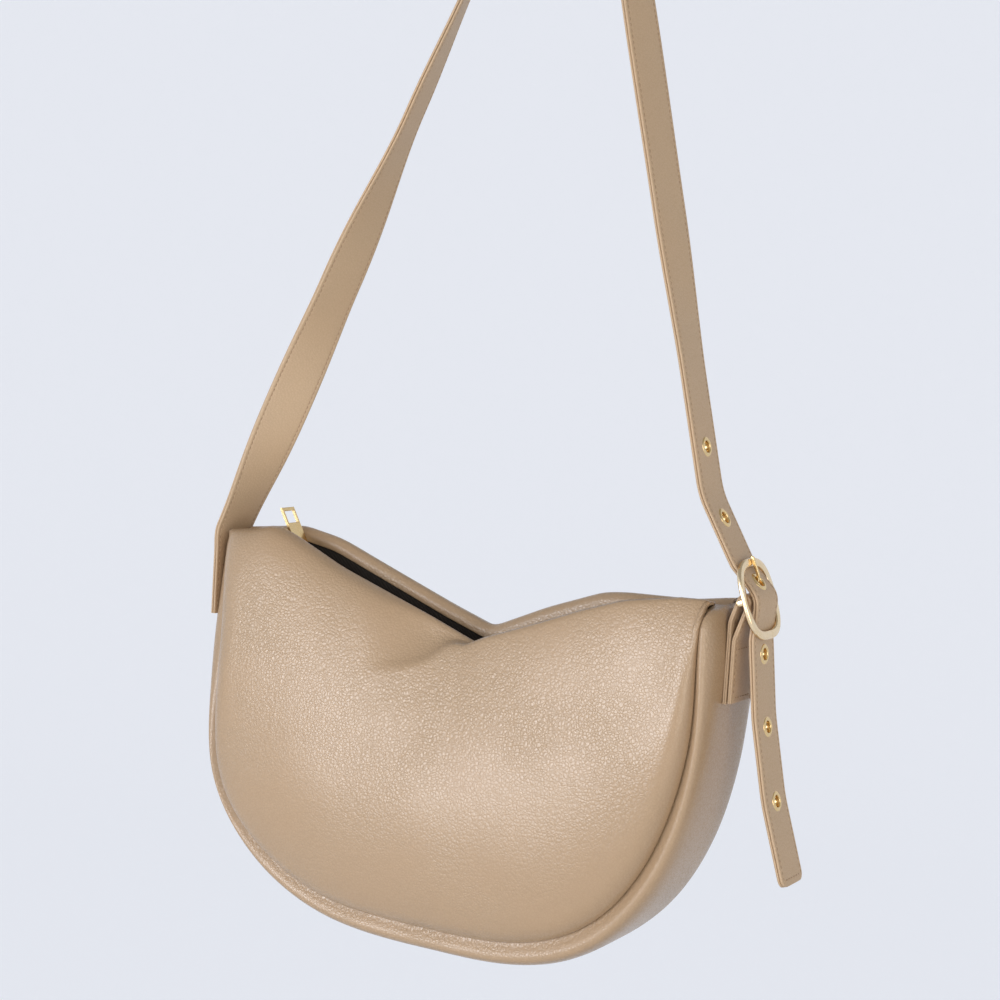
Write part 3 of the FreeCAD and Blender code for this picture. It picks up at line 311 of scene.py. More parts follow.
def faceOutward(piece):
    tidy = bmesh.new()
    tidy.from_mesh(piece.data)
    bmesh.ops.recalc_face_normals(tidy, faces=tidy.faces)
    tidy.to_mesh(piece.data)
    tidy.free()


def shellPiece(name, shells, material, slot, sharp=50):
    piece = addPiece(name, *joinShells(shells), material, slot, sharp)
    faceOutward(piece)
    return piece


def cutOut(piece, shells):
    # takes closed shells out of a piece and keeps the result as its own mesh
    cutter = meshObject("cutter", *joinShells(shells))
    faceOutward(cutter)
    cut = piece.modifiers.new("cut", "BOOLEAN")
    cut.object = cutter
    bpy.context.view_layer.update()
    whole = piece.evaluated_get(bpy.context.evaluated_depsgraph_get())
    mesh = bpy.data.meshes.new_from_object(whole)
    piece.modifiers.clear()
    piece.data = mesh
    bpy.data.objects.remove(cutter)


def steps(count, start=0.0, end=1.0):
    return [start + (end - start) * i / count for i in range(count + 1)]


def roundTurns(count):
    return [2 * math.pi * i / count for i in range(count)]


# Outline of the half moon, walked by length from the right end to the left end
rimTurns = np.linspace(0, math.pi, bag["rimPoints"])
rimX = np.sign(np.cos(rimTurns)) * bag["halfWidth"] * np.abs(np.cos(rimTurns)) ** (2 / bag["rimSidePower"])
rimZ = -bag["seamDrop"] * np.clip(np.sin(rimTurns), 0, 1) ** (2 / bag["rimBottomPower"])
rimWalk = np.concatenate([[0], np.cumsum(np.hypot(np.diff(rimX), np.diff(rimZ)))])


def endLift(x, z):
    # the left end is drawn up by the strap
    return bag["leftLift"] * max(0, 1 + z / bag["liftReach"]) ** 2 if x < 0 else 0.0


def rimAt(share):
    walked = min(max(share, 0), 1) * rimWalk[-1]
    x, z = float(np.interp(walked, rimWalk, rimX)), float(np.interp(walked, rimWalk, rimZ))
    return x, z + endLift(x, z)


def rimDistance(x, z):
    # how far a point of the panel lies inside the outline, near enough close to it
    wide, deep = abs(x) / bag["halfWidth"], max(0, -z) / bag["seamDrop"]
    inside = 1 - wide ** bag["rimSidePower"] - deep ** bag["rimBottomPower"]
    slope = math.hypot(bag["rimSidePower"] * wide ** (bag["rimSidePower"] - 1) / bag["halfWidth"],
                       bag["rimBottomPower"] * deep ** (bag["rimBottomPower"] - 1) / bag["seamDrop"])
    return max(0, inside) / max(slope, 1e-4)


def rimOutward(share, reachShare=0.004):
    x0, z0 = rimAt(share - reachShare)
    x1, z1 = rimAt(share + reachShare)
    run = math.hypot(x1 - x0, z1 - z0)
    return -(z1 - z0) / run, (x1 - x0) / run


def ease(part):
    part = min(max(part, 0), 1)
    return part * part * (3 - 2 * part)


def between(pair, share):
    return pair[0] + (pair[1] - pair[0]) * share


def gussetHalfAt(x, z):
    if x < 0:
        widening = ease(-z / bag["leftNoseDrop"])
    else:
        widening = math.sqrt(1 - (1 - min(1, max(0, -z / bag["rightNoseDrop"]))) ** 2)
    return between((bag["noseHalf"], bag["gussetHalf"]), widening)


# Curve of the zip, a round arc that the slider follows
zipper = {
    "halfLength": 124, "endDrop": 5, "midDrop": 46.5, "tapeThick": 0.6, "tapeOverlap": 1.5,
    "toothBack": 2.9, "toothTip": 0.6, "tapeNear": 3.2, "tapeFar": 8.0, "facing": 8.4, "underLip": 1,
    "leastFacing": 0.5, "alongSteps": 120, "tapeSteps": 6, "facingSteps": 12,
}
zipDrop = zipper["midDrop"] - zipper["endDrop"]
zipRadius = (zipper["halfLength"] ** 2 + zipDrop ** 2) / (2 * zipDrop)


def zipHeight(x):
    return zipRadius - math.sqrt(zipRadius ** 2 - x * x) - zipper["midDrop"]


# Front and back panels: crests of the lips as points from the left end to the right end
panel = {
    "lip": {
        -1: ((-165, 3.5), (-142, 6.7), (-130, 10), (-118, 6.1), (-82, -9.6), (-16, -31.5), (17, -43.5),
             (60, -28.5), (87, -17.5), (116, -7.5), (150, -3), (165, 0)),
        1: ((-165, 3.5), (-125, 8.4), (-98, 3.6), (-17, -26), (13, -36), (49, -19.9), (84, -7), (98, -5.4),
            (140, -4), (165, 0)),
    },
    "lipPoints": 1321, "lipEase": 10, "lipHalfGap": 8.5, "lipRoll": 3.5,
    "turnIn": 2.5, "turnInShare": 0.45, "leastTurnIn": 0.5,
    "fullness": {-1: 14, 1: 8},
    "roundPower": 2.6, "fullnessPower": 0.6,
    # right of the vee the front puffs out over its own lip
    "puffOver": ((5, 0), (18, 0.6), (29, 2.2), (60, 2.9), (116, 2.2), (150, 3.6), (165, 1.5)),
    "puffFrom": -12, "puffFull": 24, "puffLow": 0.5, "puffCrest": 0.93,
    # and left of it a fold runs down into the panel, which falls back straight to the lip above it
    "foldAt": (29, -39.5), "foldSlope": 0.424, "foldFade": (-54, -8), "foldEdge": (16, 4),
    "foldHollow": 2.5,
    "rollDepth": 5, "rollWidth": 9,
    # how far the ends are drawn in, the drop at which they are most, and its reach
    "endPull": {-1: ((6, 55, 48), (-9, 158, 36)), 1: ((4, 22, 38),)}, "pullFrom": 60,
    # loose waves away from the seam, small puckers beside it, and their seeds
    "slack": 1.1, "slackSpan": 55, "slackFrom": 25, "slackSeed": 3.7,
    "pucker": 0.35, "puckerSpan": 9, "puckerAt": 8, "puckerSeed": 8.1, "sideShift": 40,
    "endTurn": 89.2, "acrossSteps": 220, "riseSteps": 104, "risePower": 1.5, "riseEase": 0.35,
    "rollSteps": 8, "turnInSteps": 4,
}
# linings: the share of the panel's rise and the rows that they cover, and the share of the gusset
liningCut = {"thick": 0.8, "rise": (0.02, 0.8), "riseSteps": 16, "rows": slice(12, -12, 4), "turn": 0.75,
             "along": (0.05, 0.95), "alongSteps": 60}
liningInset = bag["leather"] + 2 * bag["layerGap"]
lipX = np.linspace(-bag["halfWidth"], bag["halfWidth"], panel["lipPoints"])
lipLines = {}
for side, knots in panel["lip"].items():
    heights = np.interp(lipX, [x for x, z in knots], [z for x, z in knots])
    reach = int(panel["lipEase"] / (lipX[1] - lipX[0]))
    window = np.hanning(2 * reach + 1)
    lipLines[side] = np.convolve(np.pad(heights, reach, "edge"), window / window.sum(), "valid")


def lipHeight(side, x):
    return float(np.interp(x, lipX, lipLines[side]))


def panelX(across):
    return (bag["halfWidth"] - bag["layerGap"]) * across


def seamHeight(across):
    down = (1 - abs(across) ** bag["rimSidePower"]) ** (1 / bag["rimBottomPower"])
    z = bag["layerGap"] - bag["seamDrop"] * down
    return z + endLift(across, z)


def endPull(x, z):
    # the strap and its tab draw the front seam inwards below both corners
    end = 1 if x > 0 else -1
    pulls = [depth * math.exp(-((z + drop) / span) ** 2) for depth, drop, span in panel["endPull"][end]]
    return -end * sum(pulls)


def pulledIn(x, z):
    return x + endPull(x, z) * ease((abs(x) - panel["pullFrom"]) / (bag["halfWidth"] - panel["pullFrom"]))


def puffRise(x, rise, height):
    over = float(np.interp(x, *zip(*panel["puffOver"])))
    crest = panel["puffCrest"]
    if rise < crest:
        hump = ease((rise - panel["puffLow"]) / (crest - panel["puffLow"]))
    else:
        hump = math.cos(math.pi / 2 * (rise - crest) / (1 - crest)) ** 2
    on = ease((x - panel["puffFrom"]) / (panel["puffFull"] - panel["puffFrom"]))
    return hump * (over + (1 - crest) * height * on)


def roundDepth(side, across, rise):
    # the panel's plain section, from the seam to the crest of the lip
    x = panelX(across)
    keep = max(0, 1 - rise ** panel["roundPower"]) ** (1 / panel["roundPower"])
    crest = panel["lipHalfGap"] + panel["lipRoll"]
    depth = crest + (gussetHalfAt(x, seamHeight(across)) + bag["layerGap"] - crest) * keep
    spread = math.sqrt(1 - across * across)
    swell = math.sin(math.pi * rise ** panel["fullnessPower"])
    return depth + panel["fullness"][side] * spread * swell, keep


def foldBack(across, rise, depth, zSeam, zLip):
    x = panelX(across)
    low, high = panel["foldFade"]
    fade = ease((x - low) / (high - low))
    foldRise = (panel["foldAt"][1] + (x - panel["foldAt"][0]) * panel["foldSlope"] - zSeam) / (zLip - zSeam)
    if fade == 0 or rise <= foldRise or foldRise >= 1:
        return depth
    part = (rise - foldRise) / (1 - foldRise)
    straight = between((roundDepth(-1, across, foldRise)[0], panel["lipHalfGap"] + panel["lipRoll"]), part)
    straight -= panel["foldHollow"] * math.sin(math.pi * part)
    edge = ease((rise - foldRise) * (zLip - zSeam) / between(panel["foldEdge"], fade))
    return depth + (straight - depth) * fade * edge


def panelPoint(side, across, rise, inset=0.0):
    # rise runs 0 to 1 from the seam to the crest of the lip
    x = panelX(across)
    zSeam, zLip = seamHeight(across), lipHeight(side, x)
    z = zSeam + (zLip - zSeam) * rise
    y, keep = roundDepth(side, across, rise)
    fromRim = rimDistance(x, z)
    short = 1 - min(1, fromRim / panel["rollWidth"])
    y -= panel["rollDepth"] * (1 - math.sqrt(1 - short * short)) * keep ** 0.5
    if side < 0:
        y = foldBack(across, rise, y, zSeam, zLip)
        z += puffRise(x, rise, zLip - zSeam)
    spot = (x, side * panel["sideShift"], z)
    loose = min(1, fromRim / panel["slackFrom"]) * keep ** 0.5
    y += panel["slack"] * loose * wave(spot, panel["slackSpan"], panel["slackSeed"])
    gather = math.exp(-(fromRim / panel["puckerAt"] - 1) ** 2) * math.sqrt(1 - across * across)
    y += panel["pucker"] * gather * wave(spot, panel["puckerSpan"], panel["puckerSeed"])
    if side < 0:
        x = pulledIn(x, z)
    return x, side * (y - inset), z


def turnInDepth(side, x):
    # how far the lip's leather goes down into the mouth below its roll
    room = lipHeight(side, x) - panel["lipRoll"] - zipHeight(x)
    return min(panel["turnIn"], max(panel["leastTurnIn"], panel["turnInShare"] * room))


def lipPoint(side, across, turn):
    # the roll from the crest into the mouth, turn 0 to 1, and the leather turned in below it, 1 to 2
    x = panelX(across)
    angle = min(turn, 1) * math.pi / 2
    y = panel["lipHalfGap"] + panel["lipRoll"] * (1 - math.sin(angle))
    z = lipHeight(side, x) - panel["lipRoll"] * (1 - math.cos(angle))
    z -= turnInDepth(side, x) * max(0, turn - 1)
    if side < 0:
        x = pulledIn(x, z)
    return x, side * y, z


panelRows = [math.sin(math.radians(panel["endTurn"]) * s) for s in steps(panel["acrossSteps"], -1, 1)]
# rows stand closer together towards the seam
riseRows = [s ** panel["risePower"] * (1 - panel["riseEase"] * s) / (1 - panel["riseEase"])
            for s in steps(panel["riseSteps"])]
for side, label in ((-1, "front"), (1, "back")):
    rows = []
    for across in panelRows:
        row = [panelPoint(side, across, rise) for rise in riseRows]
        turns = steps(panel["rollSteps"])[1:] + steps(panel["turnInSteps"], 1, 2)[1:]
        rows.append(row + [lipPoint(side, across, turn) for turn in turns])
    piece = gridPiece(label + "Panel", rows, panelLeather, "panel_leather", bag["leather"], side > 0)
    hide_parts(label + "_panel")
    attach(piece, "bag")
    rises = steps(liningCut["riseSteps"], *liningCut["rise"])
    rows = [[panelPoint(side, across, rise, liningInset) for rise in rises]
            for across in panelRows[liningCut["rows"]]]
    lining = gridPiece(label + "Lining", rows, liningCloth, "lining_cloth", liningCut["thick"], side > 0)
    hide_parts(label + "_lining")
    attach(lining, "bag")
print("panels made")

# Gusset that runs round the half moon
gusset = {
    "bulge": 16, "noseBulge": 3, "cornerPower": 4.5, "risePower": 0.59,
    "tuckDepth": 4.4, "tuckWidth": 0.12, "slack": 0.8, "slackSpan": 45, "slackFrom": 40, "slackSeed": 5.3,
    "alongSteps": 220, "roundSteps": 48,
}


def tuckAt(half):
    # how far the gusset's edges are drawn in at the seams
    return gusset["tuckDepth"] * (half / bag["gussetHalf"]) ** 2


def gussetPoint(share, turn, inset=0.0):
    x, z = rimAt(share)
    outX, outZ = rimOutward(share)
    power = 2 / gusset["cornerPower"]
    angle = turn * math.pi / 2
    across = math.copysign(abs(math.sin(angle)) ** power, turn)
    drop = max(0, -z)
    swell = gusset["noseBulge"]
    swell += (gusset["bulge"] - gusset["noseBulge"]) * (drop / bag["seamDrop"]) ** gusset["risePower"]
    half = gussetHalfAt(x, z)
    loose = gusset["slack"] * min(1, drop / gusset["slackFrom"])
    swell += loose * wave((x, turn * half, z), gusset["slackSpan"], gusset["slackSeed"])
    out = swell * max(0, math.cos(angle)) ** power
    tuck = tuckAt(half) * math.exp(-(1 - abs(turn)) / gusset["tuckWidth"])
    y = half * across - math.copysign(tuck + inset * abs(math.sin(angle)), turn)
    out -= inset * math.cos(angle)
    if turn < 0:
        x += (pulledIn(x, z) - x) * math.sin(-angle) ** 3
    return x + outX * out, y, z + outZ * out


rows = [[gussetPoint(share, math.sin(turn * math.pi / 2)) for turn in steps(gusset["roundSteps"], -1, 1)]
        for share in steps(gusset["alongSteps"])]
piece = gridPiece("gussetBand", rows, panelLeather, "panel_leather", bag["leather"], True)
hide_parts("gusset")
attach(piece, "bag")
turns = steps(liningCut["riseSteps"], -liningCut["turn"], liningCut["turn"])
rows = [[gussetPoint(share, turn, liningInset) for turn in turns]
        for share in steps(liningCut["alongSteps"], *liningCut["along"])]
lining = gridPiece("gussetLining", rows, liningCloth, "lining_cloth", liningCut["thick"], True)
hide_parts("gusset_lining")
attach(lining, "bag")

# Bindings over the seams' raw edges, inside the bag
binding = {
    "half": 2.7, "thick": 0.8, "inside": 2.4, "along": (0.05, 0.95), "alongSteps": 90,
    "section": ((-1, 0.2), (-0.9, 0), (0.9, 0), (1, 0.2), (1, 0.8), (0.9, 1), (-0.9, 1), (-1, 0.8)),
}
for side, label in ((-1, "front"), (1, "back")):
    sections = []
    for share in steps(binding["alongSteps"], *binding["along"]):
        x, z = rimAt(share)
        outX, outZ = rimOutward(share)
        y = gussetHalfAt(x, z) - tuckAt(gussetHalfAt(x, z)) - binding["inside"]
        section = []
        for u, v in binding["section"]:
            out = binding["half"] * u
            section.append((x + outX * out, side * (y - binding["thick"] * v), z + outZ * out))
        sections.append(section)
    piece = shellPiece(label + "SeamBinding", [skinShell(sections)], liningCloth, "lining_cloth")
    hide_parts(label + "_seam_binding")
    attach(piece, "bag")
print("gusset made")


# Zip tapes, and the facings that stand between them and the lips
def tapeX(share):
    return (zipper["halfLength"] + zipper["tapeOverlap"]) * (1 - 2 * share)


def tapePoint(side, share, way):
    x = tapeX(share)
    return x, side * between((zipper["tapeNear"], zipper["tapeFar"]), way), zipHeight(x)


def facingPoint(side, share, way):
    x = tapeX(share)
    low = zipHeight(x) - zipper["tapeThick"] / 2
    top = lipHeight(side, x) - panel["lipRoll"] - turnInDepth(side, x) + zipper["underLip"]
    return x, side * zipper["facing"], low + max(zipper["leastFacing"], top - low) * way


strips = (("Tape", tapePoint, zipper["tapeSteps"]), ("Facing", facingPoint, zipper["facingSteps"]))
for side, label in ((-1, "Front"), (1, "Back")):
    for strip, spot, count in strips:
        rows = [[spot(side, share, way) for way in steps(count)] for share in steps(zipper["alongSteps"])]
        cloth = gridPiece("zip" + strip + label, rows, tapeCloth, "zip_tape_cloth",
                          zipper["tapeThick"], side < 0)
        cloth.modifiers["wall"].offset = 0
        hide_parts("zip_%s_%s" % (strip.lower(), label.lower()))
        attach(cloth, "bag")
print("zip made")

# Small gold teeth on both tapes, set half a pitch apart from each other
teeth = {
    "pitch": 2.4, "halfLength": 0.62, "halfHeight": 0.65,
    # from the tape to the tip: share of the way, and shares of the half length and half height
    "shape": ((0, 0.7, 0.85), (0.06, 0.85, 1), (0.55, 0.8, 1), (0.8, 1, 1), (0.94, 0.8, 0.8), (1, 0.4, 0.5)),
    "section": ((-1, -0.6), (-0.6, -1), (0.6, -1), (1, -0.6), (1, 0.6), (0.6, 1), (-0.6, 1), (-1, 0.6)),
}
zipCentre = zipRadius - zipper["midDrop"]
zipReach = math.asin(zipper["halfLength"] / zipRadius)


def onZip(angle, along, y, up):
    # a point beside the chain: along it, across it and up from it
    radius = zipRadius - up
    angle += along / zipRadius
    return radius * math.sin(angle), y, zipCentre - radius * math.cos(angle)


for side, label in ((-1, "Front"), (1, "Back")):
    shells = []
    count = int(2 * zipReach * zipRadius / teeth["pitch"]) - 1
    for i in range(count):
        angle = (i - (count - 1) / 2 + side / 4) * teeth["pitch"] / zipRadius
        sections = []
        for share, long, high in teeth["shape"]:
            y = between((zipper["toothBack"], zipper["toothTip"]), share)
            long *= teeth["halfLength"]
            high *= teeth["halfHeight"]
            sections.append([onZip(angle, long * u, side * y, high * v) for u, v in teeth["section"]])
        shells.append(skinShell(sections))
    row = shellPiece("zipTeeth" + label, shells, deepGold, "gold_metal", 35)
    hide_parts("zip_teeth_" + label.lower())
    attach(row, "bag")

# Leather tabs that close the mouth past both ends of the zip
endTab = {
    "start": 129, "end": 162, "half": 7.2, "top": {-1: -1, 1: -3.5}, "thick": 1.5, "rolled": 0.4,
    "corner": 3.5, "leastCorner": 0.2, "sag": 0.5, "undersideShare": 0.6, "alongSteps": 28, "acrossSteps": 10,
}
for side, label in ((-1, "Left"), (1, "Right")):
    sections = []
    for share in steps(endTab["alongSteps"]):
        x = endTab["start"] + (endTab["end"] - endTab["start"]) * (1 - math.cos(math.pi * share)) / 2
        near = max(0, endTab["corner"] - min(x - endTab["start"], endTab["end"] - x))
        corner = math.sqrt(max(endTab["leastCorner"] ** 2, endTab["corner"] ** 2 - near ** 2))
        half = endTab["half"] - endTab["corner"] + corner
        flat = half - endTab["rolled"]
        edge = 0.5 * endTab["thick"]
        middle = endTab["top"][side] - edge
        section = []
        for u in steps(endTab["acrossSteps"], -1, 1):
            section.append((side * x, u * flat, middle + edge - endTab["sag"] * (1 - u * u)))
        section.append((side * x, half, middle))
        for u in steps(endTab["acrossSteps"], 1, -1):
            sag = endTab["sag"] * (1 - u * u) * endTab["undersideShare"]
            section.append((side * x, u * flat, middle - edge - sag))
        section.append((side * x, -half, middle))
        sections.append(section)
    piece = shellPiece("zipEndTab" + label, [skinShell(sections)], strapLeather, "strap_leather", 60)
    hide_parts("zip_end_tab_" + label.lower())
    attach(piece, "bag")
print("teeth and end tabs made")


# Paths of runs and bends in the bag's upright plane, as x and z
def bentPath(corners, radii, spacing=0.5):
    # points along the path, the length walked to each, and the lengths at which the bends begin and end
    spots, breaks = [], []
    start = np.array(corners[0], float)

    def aim(angle):
        return np.array((math.cos(angle), math.sin(angle)))
    for before, corner, after, radius in zip(corners, corners[1:], corners[2:], radii):
        first = math.atan2(corner[1] - before[1], corner[0] - before[0])
        turn = math.remainder(math.atan2(after[1] - corner[1], after[0] - corner[0]) - first, 2 * math.pi)
        cut = radius * math.tan(abs(turn) / 2)
        begin = np.array(corner) - cut * aim(first)
        count = max(2, int(np.hypot(*(begin - start)) / spacing))
        spots += [start + (begin - start) * s for s in steps(count)[:-1]]
        breaks.append(len(spots))
        side = math.copysign(math.pi / 2, turn)
        centre = begin + radius * aim(first + side)
        count = max(2, int(radius * abs(turn) / spacing))
        spots += [centre + radius * aim(first - side + turn * s) for s in steps(count)[:-1]]
        breaks.append(len(spots))
        start = np.array(corner) + cut * aim(first + turn)
    end = np.array(corners[-1], float)
    spots += [start + (end - start) * s for s in steps(max(2, int(np.hypot(*(end - start)) / spacing)))]
    spots = np.array(spots)
    walk = np.concatenate([[0], np.cumsum(np.hypot(*np.diff(spots, axis=0).T))])
    return spots, walk, [walk[i] for i in breaks]


def pathFrame(spots, walk, length, reach=1.0):
    # a point of the path and the direction to the left of its way
    ends = [np.array((np.interp(l, walk, spots[:, 0]), np.interp(l, walk, spots[:, 1])))
            for l in (length - reach, length, length + reach)]
    way = (ends[2] - ends[0]) / np.hypot(*(ends[2] - ends[0]))
    return Vector((ends[1][0], 0, ends[1][1])), Vector((-way[1], 0, way[0]))


def tangentHeading(start, centre, radius, side):
    x, z = centre[0] - start[0], centre[1] - start[1]
    return math.atan2(z, x) + side * math.asin(radius / math.hypot(x, z))


def meet(start, heading, other, otherHeading):
    x, z = other[0] - start[0], other[1] - start[1]
    run = (x * math.sin(otherHeading) - z * math.cos(otherHeading)) / math.sin(otherHeading - heading)
    return start[0] + run * math.cos(heading), start[1] + run * math.sin(heading)


# Oval buckle, tilted as the strap pulls it
buckle = {
    "out": 182.95, "up": 4.5, "tilt": 20,
    "halfWidth": 18.6, "halfHeight": 20, "ovalPower": 2.9,  # middle line of the ring
    "face": 2.35, "thick": 1.4, "edgePower": 3.2,  # half of its face and of its thickness
    "ringSteps": 112, "edgeSteps": 20,
    "barInset": 3.5, "barRadius": 1.5, "barEnd": 0.5, "barSides": 27, "barChamfer": ((0, 0.7), (0.3, 1)),
    "earHalf": 1.8, "earInset": 0.8, "earSteps": 12, "earSink": 0.2,
    # depth into the ear, and share of its full size there
    "earDome": ((0, 0.4), (0.15, 0.72), (0.4, 0.9), (0.8, 1), (1.8, 1), (2.0, 0.86)),
}


def buckleSpot(out, up):
    tilt = math.radians(buckle["tilt"])
    return (buckle["out"] + out * math.cos(tilt) - up * math.sin(tilt),
            buckle["up"] + out * math.sin(tilt) + up * math.cos(tilt))


def buckleCorner(out, y, up):
    x, z = buckleSpot(out, up)
    return x, y, z


def ovalSpot(angle, power):
    # a point of a unit oval, squarer as its power grows
    return (math.copysign(abs(math.cos(angle)) ** (2 / power), math.cos(angle)),
            math.copysign(abs(math.sin(angle)) ** (2 / power), math.sin(angle)))


def halfStepTurns(count):
    return [2 * math.pi * (i + 0.5) / count for i in range(count)]


def ringPoint(angle):
    wide, high = ovalSpot(angle, buckle["ovalPower"])
    return buckle["halfWidth"] * wide, buckle["halfHeight"] * high


def ringOutward(angle, reach=0.02):
    y0, up0 = ringPoint(angle - reach)
    y1, up1 = ringPoint(angle + reach)
    run = math.hypot(y1 - y0, up1 - up0)
    return (up1 - up0) / run, -(y1 - y0) / run


sections = []
for angle in halfStepTurns(buckle["ringSteps"]):
    y, up = ringPoint(angle)
    outY, outUp = ringOutward(angle)
    section = []
    for edge in halfStepTurns(buckle["edgeSteps"]):
        u, v = ovalSpot(edge, buckle["edgePower"])
        face = buckle["face"] * u
        section.append(buckleCorner(buckle["thick"] * v, y + outY * face, up + outUp * face))
    sections.append(section)
shells = [skinShell(sections, True)]
# an ear at each side carries the bar behind the ring
earOuter = buckle["halfWidth"] + buckle["face"] - buckle["earInset"]
ear = [(buckle["earSink"], -buckle["earHalf"]), (buckle["earSink"], buckle["earHalf"])]
for angle in steps(buckle["earSteps"], 0, math.pi):
    ear.append((-buckle["barInset"] - buckle["earHalf"] * math.sin(angle),
                buckle["earHalf"] * math.cos(angle)))
for side in (-1, 1):
    sections = []
    for depth, grow in buckle["earDome"]:
        y = side * (earOuter - depth)
        sections.append([buckleCorner(-buckle["barInset"] + (out + buckle["barInset"]) * grow, y, up * grow)
                         for out, up in ear])
    shells.append(skinShell(sections))
ring = shellPiece("buckleRing", shells, goldMetal, "gold_metal", 45)
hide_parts("buckle_frame")
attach(ring, "bag")
barEnds = [(-earOuter + buckle["barEnd"] + depth, grow) for depth, grow in buckle["barChamfer"]]
sections = []
for y, grow in barEnds + [(-y, grow) for y, grow in barEnds[::-1]]:
    radius = buckle["barRadius"] * grow
    sections.append([buckleCorner(-buckle["barInset"] + radius * math.cos(a), y, radius * math.sin(a))
                     for a in steps(buckle["barSides"], 0, 2 * math.pi)[1:]])
rod = shellPiece("buckleBar", [skinShell(sections)], goldMetal, "gold_metal", 45)
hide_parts("buckle_bar")
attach(rod, "bag")
print("buckle made")

# Strap: two layers of leather, from the left end over the hook and through the buckle to the tail
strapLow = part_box("strap_outer")[0]
strap = {
    "half": 14, "outer": 1.7, "seam": 0.12,  # half width, and the faces of each layer from the middle
    "footInset": 1.2, "footLow": -48, "footHigh": -1, "footRadius": 40,
    "hook": (41.4, 422.95), "hookTurn": 20,
    "legIn": 32.5, "legUp": 58, "legRadius": 50,
    "rimUp": 20, "rimBehind": 4.32, "rimRadius": 9, "peakOut": 4.58, "peakRadius": 11,
    "tail": ((43, 6.5), (45, 11.6), (46, 17.6)), "tailRadius": 120, "tip": 5,
    "leftTwist": ((0.18, 45), (0.36, 22), (0.6, -14), (0.78, -25), (1, 0)),
    "rightTwist": ((0, 0), (0.35, -12), (0.6, -10), (0.86, 0), (1, 0)),
    "footTwist": 12, "pinch": 0.06, "pinchSpan": 8,
    "station": 2.2, "buckleStation": 1.1, "tipSteps": 9, "leastTip": 0.01,
    # half of one layer's outline: shares of the half width and of its thickness, with the stitch groove
    "layer": ((0, 1), (0.35, 1), (0.7, 0.97), (0.8, 0.93), (0.815, 0.9), (0.835, 0.72), (0.855, 0.9),
              (0.875, 0.93), (0.93, 0.92), (0.97, 0.82), (0.99, 0.62), (1, 0.4), (0.99, 0.2), (0.965, 0.03)),
    "layerBack": ((0.5, 0), (-0.5, 0)),
    "blendAbove": 5, "blendBelow": 4,  # where the loose end starts to bend, and where it is free
}
footX = strapLow[0] / mm - bag["midX"] + strap["footInset"]
footCorner = (footX, strap["footHigh"])
legCorner = (buckle["out"] - strap["legIn"], strap["legUp"])
corners = [(footX, strap["footLow"]), footCorner]
corners.append(meet(footCorner, tangentHeading(footCorner, strap["hook"], strap["hookTurn"], 1),
                    legCorner, tangentHeading(legCorner, strap["hook"], strap["hookTurn"], -1)))
corners += [legCorner, buckleSpot(-strap["rimBehind"], strap["rimUp"]), buckleSpot(strap["peakOut"], 0),
            buckleSpot(-strap["rimBehind"], -strap["rimUp"])]
for run, lean in strap["tail"]:
    turn = math.radians(lean)
    corners.append((corners[-1][0] + run * math.sin(turn), corners[-1][1] - run * math.cos(turn)))
strapSpots, strapWalk, bends = bentPath(corners, [
    strap["footRadius"], strap["hookTurn"], strap["legRadius"], strap["rimRadius"], strap["peakRadius"],
    strap["rimRadius"], strap["tailRadius"], strap["tailRadius"]])
strapLength = strapWalk[-1]
twists = [(bends[0], 0), (bends[1], strap["footTwist"])]
twists += [(bends[1] + (bends[2] - bends[1]) * share, turn) for share, turn in strap["leftTwist"]]
twists += [(bends[3] + (bends[4] - bends[3]) * share, turn) for share, turn in strap["rightTwist"]]


def strapTurn(length):
    for (start, low), (end, high) in zip(twists, twists[1:]):
        if length <= end:
            part = min(max((length - start) / (end - start), 0), 1)
            return math.radians(low + (high - low) * (1 - math.cos(math.pi * part)) / 2)
    return 0.0


def strapFrame(length):
    # middle of the strap, and its directions across and outward
    middle, outward = pathFrame(strapSpots, strapWalk, length)
    turn = strapTurn(length)
    sideways = Vector((0, 1, 0))
    return (middle, sideways * math.cos(turn) - outward * math.sin(turn),
            outward * math.cos(turn) + sideways * math.sin(turn))


def strapHalf(length):
    # the leather gathers a little where it goes through the buckle, and the tip is rounded
    half = strap["half"]
    for middle in ((bends[7] + bends[8]) / 2, (bends[9] + bends[10]) / 2):
        half *= 1 - strap["pinch"] * math.exp(-((length - middle) / strap["pinchSpan"]) ** 2)
    past = max(0, length - strapLength + strap["tip"])
    return half - strap["tip"] + math.sqrt(max(0, strap["tip"] ** 2 - past ** 2))


def layerHeight(share):
    # from the middle of the strap out through one layer
    return strap["seam"] + (strap["outer"] - strap["seam"]) * share


plainEnd = strapLength - strap["tip"]
plain = np.arange(0, plainEnd, strap["station"])
stations = [length for length in plain if not bends[5] < length < bends[11]]
stations += list(np.arange(bends[5], bends[11], strap["buckleStation"]))
stations += [strapLength - strap["tip"] * (1 - math.sin(math.pi / 2 * s))
             for s in steps(strap["tipSteps"])[:-1]]
stations = sorted(stations + [strapLength - strap["leastTip"]])
layerFace = [(-u, h) for u, h in strap["layer"][:0:-1]] + list(strap["layer"])
layerOutline = layerFace + list(strap["layerBack"])

